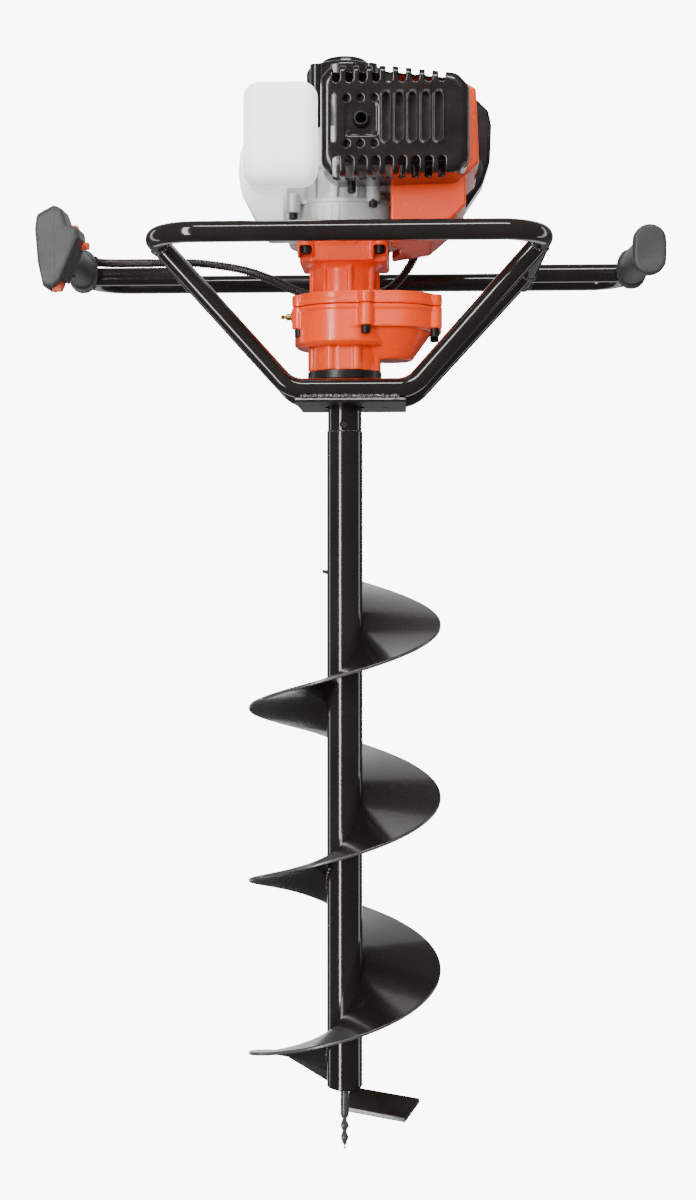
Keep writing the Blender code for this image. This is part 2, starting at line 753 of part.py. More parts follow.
def input_train(group, steel):
    """The clutch drum and the pinion that it turns."""
    shaft = join(
        prism(gear_outline(INPUT_TEETH, FIRST_MODULE, (0, 0), 0), INPUT_PINION_LOW_Z, SPLIT_Z + 0.001),
        disc(INPUT_SHAFT_R, SPLIT_Z, DRUM_FLOOR_Z + 0.004),
    )
    piece(shaft, "input_pinion", group, steel)
    drum = turned(
        [
            (INPUT_SHAFT_R + GAP, DRUM_FLOOR_Z), (DRUM_R, DRUM_FLOOR_Z), (DRUM_R, BELL_TOP_Z + 0.001),
            (DRUM_R - DRUM_WALL, BELL_TOP_Z + 0.001), (DRUM_R - DRUM_WALL, DRUM_FLOOR_Z + DRUM_WALL),
            (INPUT_SHAFT_R + GAP, DRUM_FLOOR_Z + DRUM_WALL),
        ],
        steps=FINE,
    )
    piece(drum, "clutch_drum", group, steel)


def grease_nipple(group, brass):
    x = -0.0562
    spot = (0, -0.0605)
    body = turned(
        [(0, x - 0.0105), (0.0019, x - 0.0105), (0.0024, x - 0.0085), (0.0016, x - 0.006), (0.0036, x - 0.0045),
         (0.0036, x - GAP), (0.0029, x - GAP), (0.0029, x + 0.0045), (0, x + 0.0045)],
        spot, "X", 12,
    )
    return piece(body, "grease_nipple", group, brass)


def drive_socket(group, paint):
    """The socket that the bit is pinned by, with a spigot down inside the bit's tube."""
    spigot_r = AUGER_TUBE_R - AUGER_TUBE_WALL - GAP
    shoulder = TUBE_TOP_Z + GAP
    body = turned(
        [
            (0, shoulder - 0.034), (spigot_r, shoulder - 0.034), (spigot_r, shoulder), (SOCKET_R, shoulder),
            (SOCKET_R, SOCKET_TOP_Z), (SHAFT_R + GAP, SOCKET_TOP_Z), (SHAFT_R + GAP, SHAFT_END_Z - GAP),
            (0, SHAFT_END_Z - GAP),
        ]
    )
    cut(body, disc(PIN_R + GAP, -0.05, 0.05, (0, PIN_Z), axis="Y", steps=12))
    piece(body, "drive_socket", group, paint)
    pin = disc(PIN_R, -SOCKET_R + 0.0004, SOCKET_R - 0.0004, (0, PIN_Z), axis="Y", steps=12)
    return pin


def auger_bit(group, paint, steel):
    """The bit: a tube with a right-handed screw flight, two cutters and a twisted pilot point."""
    tube = ring(AUGER_TUBE_R - AUGER_TUBE_WALL, AUGER_TUBE_R, TUBE_END_Z, TUBE_TOP_Z)
    piece(tube, "auger_tube", group, paint)
    inner = AUGER_TUBE_R + GAP
    sections = []
    for degrees in range(FLIGHT_FIRST_DEG, FLIGHT_LAST_DEG + 1, FLIGHT_STEP_DEG):
        turn = math.radians(degrees)
        level = FLIGHT_ZERO_Z - FLIGHT_PITCH * degrees / 360
        across = Vector((math.cos(turn), -math.sin(turn), 0))
        half = Vector((0, 0, FLIGHT_THICK / 2))
        base = Vector((0, 0, level))
        sections.append(
            [base + across * inner - half, base + across * FLIGHT_R - half,
             base + across * FLIGHT_R + half, base + across * inner + half]
        )
    piece(loft(sections), "auger_flight", group, paint)
    piece(flight_cutter(), "flight_cutter", group, paint)
    piece(cutting_blade(), "cutting_blade", group, paint)
    piece(pilot_point(), "pilot_point", group, steel)


def flight_end_z():
    steps = (FLIGHT_LAST_DEG - FLIGHT_FIRST_DEG) // FLIGHT_STEP_DEG
    last = FLIGHT_FIRST_DEG + steps * FLIGHT_STEP_DEG
    return FLIGHT_ZERO_Z - FLIGHT_PITCH * last / 360, last


def flight_cutter():
    """The hardened strip welded under the flight's lower end, reaching in under the tube."""
    end_z, last = flight_end_z()
    top = end_z - FLIGHT_THICK / 2 - GAP
    tube_end = TUBE_END_Z - GAP
    outline = [
        (PILOT_R + 0.0008, tube_end - 0.0065), (FLIGHT_R - 0.002, top - 0.0040), (FLIGHT_R - 0.002, top),
        (AUGER_TUBE_R + 0.0012, top), (AUGER_TUBE_R + 0.0012, tube_end), (PILOT_R + 0.0008, tube_end),
    ]
    strip = prism(outline, -CUTTER_THICK, 0, axis="Y")
    strip.data.transform(Matrix.Rotation(-math.radians(last), 4, "Z"))
    return strip


def cutting_blade():
    """The flat cutter on the other side: its front edge is low, so it lifts the soil as the bit turns."""
    thick = BLADE_THICK * math.sqrt(1 + BLADE_SLOPE_X**2 + BLADE_SLOPE_Y**2)
    rings = []
    for lift in (0, -thick):
        rings.append([(x, y, BLADE_Z + BLADE_SLOPE_X * x + BLADE_SLOPE_Y * y + lift) for x, y in BLADE_CORNERS])
    blade = loft([[Vector(point) for point in level] for level in rings])
    return cut(blade, disc(AUGER_TUBE_R + GAP, TUBE_END_Z - GAP, TUBE_END_Z + 0.05))


def pilot_point():
    """The plug in the tube's end, a round shank, and a flat twisted into a starting point."""
    plug_r = AUGER_TUBE_R - AUGER_TUBE_WALL - GAP
    sides = 8
    rings = []
    levels = [(TUBE_END_Z + 0.008, plug_r, plug_r, 0), (TUBE_END_Z + 0.0005, plug_r, plug_r, 0),
              (TUBE_END_Z + 0.0004, PILOT_R, PILOT_R, 0), (PILOT_SHANK_END_Z, PILOT_R, PILOT_R, 0)]
    turns = 12
    for n in range(turns):
        share = (n + 1) / turns
        level = PILOT_SHANK_END_Z - 0.004 - (PILOT_SHANK_END_Z - PILOT_TIP_Z - 0.008) * n / (turns - 1)
        width = PILOT_R * (0.98 - 0.12 * share)
        levels.append((level, width, width * 0.42, 2.2 * math.pi * share))
    levels.append((PILOT_TIP_Z, 0.0006, 0.0004, 2.2 * math.pi))
    for level, wide, thin, turn in levels:
        section = []
        for n in range(sides):
            angle = 2 * math.pi * n / sides
            flat = Matrix.Rotation(turn, 2) @ Vector((wide * math.cos(angle), thin * math.sin(angle)))
            section.append(Vector((flat.x, flat.y, level)))
        rings.append(section)
    return loft(rings)


def oval_section(centre_x, level_y, half_x, half_z, lift, power=2.3, count=20):
    """A rounded section of a grip, square-shouldered by its power."""
    points = []
    for n in range(count):
        angle = 2 * math.pi * n / count
        c, s = math.cos(angle), math.sin(angle)
        across = math.copysign(abs(c) ** (2 / power), c) * half_x
        up = math.copysign(abs(s) ** (2 / power), s) * half_z
        points.append(Vector((centre_x + across, level_y, lift + up)))
    return points


def grip_loft(centre_x, sections):
    return loft([oval_section(centre_x, y, half_x, half_z, lift) for y, half_x, half_z, lift in sections])


def bar_channel(centre_x):
    return disc(TUBE_R + GAP, BAR_END_Y - GAP, GRIP_REAR_Y + 0.02, (centre_x, 0), axis="Y")


def right_grip(group, rubber):
    sections = (
        (GRIP_REAR_Y, FLANGE_HALF_X - 0.001, FLANGE_HALF_Z - 0.001, 0.001),
        (GRIP_REAR_Y - 0.002, FLANGE_HALF_X, FLANGE_HALF_Z, 0.001),
        (GRIP_REAR_Y - 0.006, FLANGE_HALF_X, FLANGE_HALF_Z, 0.001),
        (GRIP_REAR_Y - 0.011, GRIP_HALF_X, GRIP_HALF_Z, 0),
        (0.030, GRIP_HALF_X + 0.0008, GRIP_HALF_Z + 0.001, 0),
        (-0.015, GRIP_HALF_X - 0.0003, GRIP_HALF_Z, 0),
        (-0.030, GRIP_HALF_X, GRIP_HALF_Z + 0.001, -0.0005),
        (-0.040, 0.0160, CAP_HALF_Z - 0.001, -0.0015),
        (-0.044, 0.0168, CAP_HALF_Z, -0.0018),
        (GRIP_FRONT_Y + 0.002, 0.0168, CAP_HALF_Z, -0.0018),
        (GRIP_FRONT_Y, 0.0152, CAP_HALF_Z - 0.0018, -0.0018),
    )
    return piece(cut(grip_loft(RIGHT_X, sections), bar_channel(RIGHT_X)), "right_grip", group, rubber)


def pod_outline(inset=0.0):
    """The throttle pod seen from its end: a tall shield with a step on its inner side."""
    corners = [
        (-0.0195, 0.0385), (-0.0020, 0.0480), (0.0065, 0.0440),
        (0.0120, 0.0280), (0.0235, 0.0240), (0.0245, 0.0140),
        (0.0050, -0.0315), (-0.0020, -0.0375), (-0.0130, -0.0360), (-0.0185, -0.0110), (-0.0215, 0.0240),
    ]
    radii = [0.006, 0.005, 0.004, 0.004, 0.003, 0.004, 0.006, 0.005, 0.005, 0.03, 0.02]
    return [(LEFT_X + u * (1 - inset), v * (1 - inset)) for u, v in rounded(corners, radii, 2)]


def throttle_handle(group, plastic):
    """The left handle, moulded in two halves that close on the bar and hold the controls."""
    sections = (
        (GRIP_REAR_Y, FLANGE_HALF_X - 0.001, FLANGE_HALF_Z + 0.001, HANDLE_LIFT),
        (GRIP_REAR_Y - 0.002, FLANGE_HALF_X, FLANGE_HALF_Z + 0.002, HANDLE_LIFT),
        (GRIP_REAR_Y - 0.007, FLANGE_HALF_X, FLANGE_HALF_Z + 0.002, HANDLE_LIFT),
        (GRIP_REAR_Y - 0.012, GRIP_HALF_X, GRIP_HALF_Z + 0.0015, HANDLE_LIFT),
        (0.030, GRIP_HALF_X + 0.0008, GRIP_HALF_Z + 0.001, HANDLE_LIFT),
        (0.004, GRIP_HALF_X, GRIP_HALF_Z + 0.001, HANDLE_LIFT),
        (POD_REAR_Y - 0.002, GRIP_HALF_X + 0.001, GRIP_HALF_Z + 0.004, HANDLE_LIFT),
    )
    handle = grip_loft(LEFT_X, sections)
    pod_rings = []
    levels = ((POD_REAR_Y, 0.12), (POD_REAR_Y - 0.012, 0.0), (POD_FRONT_Y + 0.003, 0.0), (POD_FRONT_Y, 0.07))
    for level, inset in levels:
        pod_rings.append([Vector((u, level, v)) for u, v in pod_outline(inset)])
    join(handle, loft(pod_rings))
    slot_x = TRIGGER_HALF_WIDTH + 0.0008
    lever_x = INTERLOCK_HALF_WIDTH + 0.0008
    cut(
        handle,
        bar_channel(LEFT_X),
        box((LEFT_X - slot_x, -0.0530, -0.060), (LEFT_X + slot_x, 0.0145, -0.0116)),
        box((LEFT_X - lever_x, -0.0065, 0.0114), (LEFT_X + lever_x, 0.0520, 0.040)),
        box(
            (SWITCH_X - SWITCH_HALF_WIDTH - GAP, -0.0485, SWITCH_FLOOR_Z),
            (SWITCH_X + SWITCH_HALF_WIDTH + GAP, -0.0265, 0.06),
        ),
        disc(BUTTON_R + GAP, LEFT_X + 0.0140, LEFT_X + 0.0400, (BUTTON_Y, BUTTON_Z), axis="X", steps=14),
        disc(CABLE_R + 0.0004, GRIP_REAR_Y - 0.004, GRIP_REAR_Y + 0.01, CABLE_START[0::2], axis="Y", steps=12),
    )
    outer = cut(copy_of(handle), box((LEFT_X - GAP / 2, -0.2, -0.2), (LEFT_X + 0.2, 0.2, 0.2)))
    inner = cut(handle, box((LEFT_X - 0.2, -0.2, -0.2), (LEFT_X + GAP / 2, 0.2, 0.2)))
    pins = (
        disc(
            TRIGGER_PIN_R, LEFT_X - slot_x + GAP, LEFT_X + slot_x + 0.002,
            (TRIGGER_PIVOT_Y, TRIGGER_PIVOT_Z), "X", 10,
        ),
        disc(
            INTERLOCK_PIN_R, LEFT_X - lever_x + GAP, LEFT_X + lever_x + 0.002,
            (INTERLOCK_PIVOT_Y, INTERLOCK_PIVOT_Z), "X", 10,
        ),
    )
    join(inner, *pins)
    piece(outer, "throttle_handle_outer_shell", group, plastic)
    piece(inner, "throttle_handle_inner_shell", group, plastic)


def throttle_trigger(group, finish):
    outline = [
        (-0.0400, -0.0135), (-0.0320, -0.0135), (-0.0200, -0.0190), (-0.0020, -0.0235), (0.0090, -0.0275),
        (0.0080, -0.0345), (-0.0060, -0.0385), (-0.0300, -0.0400), (-0.0460, -0.0395), (-0.0480, -0.0330),
        (-0.0420, -0.0220),
    ]
    half = TRIGGER_HALF_WIDTH
    body = prism(rounded(outline, 0.0016, 2), LEFT_X - half, LEFT_X + half, axis="X")
    hole = disc(TRIGGER_PIN_R + GAP, LEFT_X - 0.03, LEFT_X + 0.03, (TRIGGER_PIVOT_Y, TRIGGER_PIVOT_Z), "X", 10)
    return piece(cut(body, hole), "throttle_trigger", group, finish)


def throttle_interlock(group, finish):
    outline = [(0.0500, 0.0125), (0.0500, 0.0188), (0.0400, 0.0205), (0.0020, 0.0285), (-0.0040, 0.0265),
               (-0.0042, 0.0185), (0.0400, 0.0125)]
    half = INTERLOCK_HALF_WIDTH
    pivot = (INTERLOCK_PIVOT_Y, INTERLOCK_PIVOT_Z)
    body = prism(rounded(outline, 0.0014, 2), LEFT_X - half, LEFT_X + half, axis="X")
    hole = disc(INTERLOCK_PIN_R + GAP, LEFT_X - 0.03, LEFT_X + 0.03, pivot, "X", 10)
    return piece(cut(body, hole), "throttle_interlock", group, finish)


def stop_switch(group, finish):
    low_x, high_x = SWITCH_X - SWITCH_HALF_WIDTH, SWITCH_X + SWITCH_HALF_WIDTH
    front, back = -0.0480, -0.0480 + 0.0145
    body = box((low_x, front, SWITCH_FLOOR_Z + GAP), (high_x, back, 0.0262))
    for n in range(4):
        y = front + 0.0028 + 0.003 * n
        join(body, box((low_x + 0.0006, y - 0.0006, 0.0255), (high_x - 0.0006, y + 0.0006, 0.0284)))
    return piece(body, "stop_switch", group, finish)


def lock_button(group, finish):
    spot = (BUTTON_Y, BUTTON_Z)
    tip = LEFT_X + 0.0295
    body = turned(
        [(0, LEFT_X + 0.0140 + BUTTON_TRAVEL + GAP), (BUTTON_R, LEFT_X + 0.0140 + BUTTON_TRAVEL + GAP),
         (BUTTON_R, tip - 0.0008), (BUTTON_R - 0.0008, tip), (0, tip)],
        spot, "X", 14,
    )
    return piece(body, "throttle_lock_button", group, finish)


def throttle_cable(group, finish):
    cable = swept(smooth_path(CABLE_ROUTE, 3), CABLE_R, 8)
    return piece(cable, "throttle_cable", group, finish)


def fan_housing(group, alloy):
    """The cast housing round the flywheel fan, open to the shroud on the cylinder's side."""
    low = BELL_TOP_Z + GAP
    shell = turned(
        [
            (DRUM_R + 0.004, low), (FAN_CASE_R - 0.003, low),
            (FAN_CASE_R, low + 0.003), (FAN_CASE_R, FAN_CASE_TOP_Z),
            (FAN_CASE_R - FAN_CASE_WALL, FAN_CASE_TOP_Z), (FAN_CASE_R - FAN_CASE_WALL, low + 0.0035),
            (DRUM_R + 0.004, low + 0.0035),
        ],
        steps=FINE,
    )
    for spot in bell_bolts():
        join(shell, disc(CASE_BOLT_R, low, low + 0.003, spot, steps=10))
    cut(shell, box((0.036, -0.034, low + 0.006), (0.08, 0.034, FAN_CASE_TOP_Z + 0.01)))
    return piece(shell, "fan_housing", group, alloy)


def crankcase(group, alloy):
    """The crankcase with its flange on the fan housing, tank pads and the pad for the cylinder."""
    low = FAN_CASE_TOP_Z + GAP
    body = disc(CRANKCASE_R, low, CRANKCASE_TOP_Z, steps=FINE)
    flange = disc(FAN_CASE_R - 0.0005, low, low + 0.005, steps=FINE)
    pad = box((0.010, -0.030, CYLINDER_Z - 0.030), (CYLINDER_X - GAP, 0.030, CYLINDER_Z + 0.030), 0.003)
    tank_pad = box((TANK_SEAT_X, -0.0165, 0.0495), (-0.021, 0.0155, 0.120), 0.0025)
    join(body, flange, pad, tank_pad)
    pillar_x, pillar_y = 0.031, -0.046
    join(body, disc(0.0075, low + 0.001, 0.078, (pillar_x, pillar_y), steps=10))
    join(body, box((pillar_x - 0.0048, pillar_y + 0.0013, low + 0.002), (pillar_x + 0.0048, -0.0292, 0.0762)))
    post = (-0.0500, -0.0455)
    lug = box((-0.052, -0.044, low + 0.0005), (-0.036, -0.030, low + 0.0045))
    join(body, disc(0.0070, 0.038, 0.0576, post, steps=10), lug)
    cut(body, disc(CRANK_R + GAP, low - 0.01, CRANKCASE_TOP_Z + 0.01))
    return piece(body, "crankcase", group, alloy)


def crank_train(group, steel, alloy):
    """The crankshaft, and the flywheel with its fan blades and the pins that carry the clutch shoes."""
    journal = disc(CRANK_R, 0.0125, ROPE_Z - 0.012)
    end = disc(0.006, ROPE_Z - 0.0125, ROPE_Z + 0.010, steps=16)
    piece(join(journal, end), "crankshaft", group, steel)
    wheel = turned(
        [
            (CRANK_R + GAP, FLYWHEEL_LOW_Z), (FLYWHEEL_R, FLYWHEEL_LOW_Z), (FLYWHEEL_R, FLYWHEEL_TOP_Z),
            (0.022, FLYWHEEL_TOP_Z), (0.016, FAN_BLADE_TOP_Z + 0.001), (CRANK_R + GAP, FAN_BLADE_TOP_Z + 0.001),
        ],
        steps=FINE,
    )
    blades = 12
    for n in range(blades):
        blade = box((0.019, -0.0012, FLYWHEEL_TOP_Z - 0.002), (FLYWHEEL_R - 0.0015, 0.0012, FAN_BLADE_TOP_Z))
        blade.data.transform(Matrix.Rotation(2 * math.pi * n / blades, 4, "Z"))
        join(wheel, blade)
    for side in (-1, 1):
        join(wheel, disc(SHOE_PIN_R, SHOE_LOW_Z, FLYWHEEL_LOW_Z + 0.002, (0, side * SHOE_PIN_Y), steps=12))
    piece(wheel, "flywheel", group, alloy)


def clutch_shoe(name, side, group, lining):
    """One of the two shoes that slide out on their pins until they grip the drum."""
    shoe = ring(SHOE_INNER_R, DRUM_R - DRUM_WALL - RUNNING_GAP, SHOE_LOW_Z, FLYWHEEL_LOW_Z - 0.001, steps=FINE)
    slot_y = side * (SHOE_PIN_Y - SHOE_TRAVEL / 2)
    slot = slot_outline((0, slot_y), SHOE_PIN_R + GAP, SHOE_PIN_R + GAP + SHOE_TRAVEL / 2)
    cut(
        shoe,
        box((-0.05, min(side * 0.0015, -side * 0.05), -0.05), (0.05, max(side * 0.0015, -side * 0.05), 0.05)),
        prism(slot, -0.05, 0.05),
    )
    return piece(shoe, name, group, lining)


def cylinder(group, alloy):
    """The finned cylinder, on its side, with an exhaust port in front and an inlet behind."""
    fins = 5
    pitch = (CYLINDER_END_X - CYLINDER_X - 0.010) / fins
    profile = [(0, CYLINDER_X), (0.031, CYLINDER_X), (0.031, CYLINDER_X + 0.005)]
    for n in range(fins):
        start = CYLINDER_X + 0.006 + pitch * n
        profile += [(0.025, start), (FIN_R, start + 0.0008), (FIN_R, start + 0.0025), (0.025, start + 0.0033)]
    profile += [(0.025, CYLINDER_END_X - 0.003), (0.020, CYLINDER_END_X), (0, CYLINDER_END_X)]
    body = turned(profile, (0, CYLINDER_Z), "X", 14)
    port = disc(0.012, -FIN_R - 0.003, 0, (EXHAUST_PORT_X, CYLINDER_Z), "Y", 16)
    inlet = disc(0.012, 0, FIN_R + 0.003, (CARB_X, CYLINDER_Z), "Y", 16)
    join(body, port, inlet)
    cut(
        body,
        disc(0.007, -0.06, -0.010, (EXHAUST_PORT_X, CYLINDER_Z), "Y", 12),
        disc(0.007, 0.010, 0.06, (CARB_X, CYLINDER_Z), "Y", 12),
        disc(0.0046, CYLINDER_END_X - 0.009, CYLINDER_END_X + 0.01, (0, CYLINDER_Z), "X", 12),
    )
    return piece(body, "cylinder", group, alloy)


def shroud_outline(inset=0.0):
    left, wall = SHROUD_LEFT_X, inset
    corners = [
        (left, 0.0050 + wall), (0.089, 0.0115 + wall), (0.1155 - wall * 0.5, 0.0340 + wall * 0.5),
        (0.1240 - wall, 0.0430), (0.1240 - wall, 0.0720),
        (0.1370 - wall, 0.0845), (0.1340 - wall, 0.1580 - wall * 0.5),
        (0.1165 - wall * 0.5, 0.1690 - wall), (left, 0.1690 - wall),
    ]
    return corners


def cylinder_shroud(group, paint):
    """The painted air shroud over the cylinder, open to the fan housing, muffler and carburettor."""
    radii = [0, 0.006, 0.004, 0.003, 0.003, 0.004, 0.005, 0.005, 0]
    shell = prism(rounded(shroud_outline(), radii, 2), SHROUD_FRONT_Y, SHROUD_BACK_Y, axis="Y")
    hollow = [(u if n not in (0, 8) else u - 0.02, v) for n, (u, v) in enumerate(shroud_outline(SHROUD_WALL))]
    exhaust_hole = rounded([(0.058, 0.070), (0.112, 0.070), (0.112, 0.148), (0.058, 0.148)], 0.004, 2)
    inlet_hole = rounded([(0.066, 0.074), (0.101, 0.074), (0.101, 0.110), (0.066, 0.110)], 0.004, 2)
    cut(
        shell,
        prism(hollow, SHROUD_FRONT_Y + SHROUD_WALL, SHROUD_BACK_Y - SHROUD_WALL, axis="Y"),
        disc(FAN_CASE_R + 0.0006, -0.02, FAN_CASE_TOP_Z + 0.012, steps=FINE),
        prism(exhaust_hole, SHROUD_FRONT_Y - 0.03, SHROUD_FRONT_Y + 0.02, axis="Y"),
        prism(inlet_hole, SHROUD_BACK_Y - 0.02, SHROUD_BACK_Y + 0.04, axis="Y"),
        disc(0.0125, 0.12, 0.16, (0, CYLINDER_Z + 0.002), "X", 18),
    )
    for n in range(5):
        z = 0.120 + 0.008 * n
        cut(shell, prism(slot_outline((-0.002, z), 0.0018, 0.018, math.pi / 2, 3), 0.125, 0.15, axis="X"))
    return piece(shell, "cylinder_shroud", group, paint)


def spark_plug(group, ceramic, rubber):
    spot = (0, CYLINDER_Z)
    start = CYLINDER_END_X
    body = turned(
        [(0, start - 0.0085), (0.0043, start - 0.0085), (0.0043, start + GAP), (0.0085, start + GAP),
         (0.0085, start + 0.006), (0.0048, start + 0.007), (0.0042, start + 0.018), (0, start + 0.018)],
        spot, "X", 12,
    )
    piece(body, "spark_plug", group, ceramic)
    boot = turned(
        [(0, start + 0.0184), (0.0046, start + 0.0184), (0.0053, start + 0.0080), (0.0090, start + 0.0078),
         (0.0098, start + 0.012), (0.0095, start + 0.024), (0.0065, start + 0.028), (0, start + 0.029)],
        spot, "X", 16,
    )
    return piece(boot, "spark_plug_boot", group, rubber)


def muffler(group, steel):
    """The exhaust box on the cylinder's port, with its outlet pipe through the guard."""
    body = box(MUFFLER_LOW, MUFFLER_HIGH, 0.007, 2)
    port = disc(0.015, MUFFLER_HIGH[1] - 0.002, -FIN_R - 0.003 - GAP, (EXHAUST_PORT_X, CYLINDER_Z), "Y", 16)
    outlet = disc(EXHAUST_R, EXHAUST_END_Y, MUFFLER_LOW[1] + 0.0035, (EXHAUST_X, EXHAUST_Z), "Y", 16)
    join(body, port, outlet)
    bore_end_y = MUFFLER_LOW[1] + 0.0185
    cut(body, disc(EXHAUST_R - 0.0014, EXHAUST_END_Y - 0.007, bore_end_y, (EXHAUST_X, EXHAUST_Z), "Y", 14))
    return piece(body, "muffler", group, steel)


def muffler_guard(group, finish):
    """The slotted heat guard: a deep tray over the muffler with rows of cooling slots."""
    outline = [
        (GUARD_LEFT_X, GUARD_LOW_Z + 0.012), (GUARD_LEFT_X + 0.012, GUARD_LOW_Z),
        (GUARD_RIGHT_X - 0.012, GUARD_LOW_Z + 0.003), (GUARD_RIGHT_X, GUARD_LOW_Z + 0.016),
        (GUARD_RIGHT_X, GUARD_TOP_Z - 0.020), (GUARD_RIGHT_X - 0.018, GUARD_TOP_Z),
        (GUARD_LEFT_X + 0.010, GUARD_TOP_Z), (GUARD_LEFT_X, GUARD_TOP_Z - 0.012),
    ]
    middle = Vector(((GUARD_LEFT_X + GUARD_RIGHT_X) / 2, (GUARD_LOW_Z + GUARD_TOP_Z) / 2))

    def section(level, inset):
        points = []
        for u, v in rounded(outline, 0.006, 2):
            du = u - middle.x
            dv = v - middle.y
            points.append(Vector((u - math.copysign(inset, du), level, v - math.copysign(inset, dv))))
        return points

    front = GUARD_FRONT_Y
    shell = loft(
        [section(GUARD_BACK_Y, 0), section(front + 0.010, 0),
         section(front + 0.003, 0.003), section(front, 0.009)]
    )
    wall = GUARD_WALL
    hollow = loft(
        [section(GUARD_BACK_Y + 0.01, wall), section(front + 0.010, wall),
         section(front + 0.003 + wall, 0.003 + wall), section(front + wall, 0.010 + wall)]
    )
    cut(shell, hollow)
    through = (front - 0.01, front + 0.014)
    for n in range(5):
        x = GUARD_SLOT_X + GUARD_SLOT_PITCH * n
        cut(shell, prism(slot_outline((x, GUARD_SLOT_Z), 0.0034, 0.0235, steps=3), *through, axis="Y"))
    cut(shell, prism(slot_outline((-0.0065, GUARD_SLOT_Z), 0.0018, 0.0235, steps=2), *through, axis="Y"))
    for n in range(3):
        x = 0.0065 + 0.0135 * n
        cut(shell, prism(slot_outline((x, 0.1345), 0.0030, 0.0034, steps=3), *through, axis="Y"))
        cut(shell, prism(slot_outline((x, 0.0905), 0.0030, 0.0034, steps=3), *through, axis="Y"))
    for n in range(9):
        x = -0.0035 + 0.0128 * n
        lower = slot_outline((x, front + 0.008), 0.0034, 0.016, steps=2)
        upper = slot_outline((x, front + 0.008), 0.0034, 0.018, steps=2)
        cut(shell, prism(lower, GUARD_LOW_Z - 0.01, GUARD_LOW_Z + 0.012, axis="Z"))
        cut(shell, prism(upper, GUARD_TOP_Z - 0.010, GUARD_TOP_Z + 0.01, axis="Z"))
    for n in range(5):
        z = 0.078 + 0.0150 * n
        leaning = slot_outline((front + 0.026, z), 0.0030, 0.014, -math.pi / 2 + 0.5, 2)
        cut(shell, prism(leaning, GUARD_RIGHT_X - 0.012, GUARD_RIGHT_X + 0.02, axis="X"))
    cut(shell, disc(EXHAUST_R + 0.0008, front - 0.01, front + 0.02, (EXHAUST_X, EXHAUST_Z), "Y", 16))
    return piece(shell, "muffler_guard", group, finish)


def fuel_tank(group, plastic):
    """The translucent tank: a tall front part, and a rear part that reaches lower and slants in."""
    front = box(
        (TANK_LEFT_X + 0.0125, TANK_FRONT_Y, TANK_LOW_Z + 0.030),
        (TANK_SEAT_X + 0.0355, TANK_FRONT_Y + 0.0330, TANK_TOP_Z),
        0.0150, 3,
    )
    side_x = TANK_SEAT_X - 0.0010
    outline = [
        (TANK_LEFT_X, TANK_LOW_Z + 0.0570), (TANK_LEFT_X + 0.0090, TANK_LOW_Z + 0.0280),
        (TANK_LEFT_X + 0.0260, TANK_LOW_Z), (side_x, TANK_LOW_Z),
        (side_x, TANK_LOW_Z + 0.0220), (TANK_SEAT_X - GAP, TANK_TOP_Z - 0.0030),
        (TANK_LEFT_X + 0.0070, TANK_TOP_Z - 0.0030), (TANK_LEFT_X, TANK_TOP_Z - 0.014),
    ]
    radii = [0.006, 0.006, 0.006, 0.004, 0.001, 0.001, 0.006, 0.006]
    rear = prism(rounded(outline, radii, 2), TANK_FRONT_Y + 0.050, TANK_BACK_Y - 0.0005, axis="Y")
    neck = disc(0.0165, TANK_TOP_Z - 0.010, TANK_TOP_Z + 0.006, (CAP_X, CAP_Y), steps=ROUND)
    back = box(
        (TANK_LEFT_X + 0.0100, TANK_FRONT_Y + 0.0140, TANK_LOW_Z + 0.031),
        (TANK_SEAT_X - GAP, TANK_BACK_Y, TANK_TOP_Z - 0.0010),
        0.008, 2,
    )
    join(front, rear, back, neck)
    cut(front, disc(0.0125, TANK_TOP_Z - 0.030, TANK_TOP_Z + 0.02, (CAP_X, CAP_Y), steps=ROUND))
    return piece(front, "fuel_tank", group, plastic)


def fuel_cap(group, finish):
    spot = (CAP_X, CAP_Y)
    top = TANK_TOP_Z + 0.0205
    body = turned(
        [
            (0, TANK_TOP_Z - 0.006), (0.0118, TANK_TOP_Z - 0.006), (0.0118, TANK_TOP_Z + 0.0063),
            (0.0170, TANK_TOP_Z + 0.0063), (0.0170, TANK_TOP_Z + 0.0008), (CAP_R, TANK_TOP_Z + 0.0008),
            (CAP_R, top - 0.002), (CAP_R - 0.002, top), (0, top),
        ],
        spot,
    )
    for n in range(8):
        angle = 2 * math.pi * n / 8
        notch = (CAP_X + (CAP_R + 0.0015) * math.cos(angle), CAP_Y + (CAP_R + 0.0015) * math.sin(angle))
        cut(body, disc(0.0035, TANK_TOP_Z - 0.001, top + 0.01, notch, steps=10))
    return piece(body, "fuel_cap", group, finish)


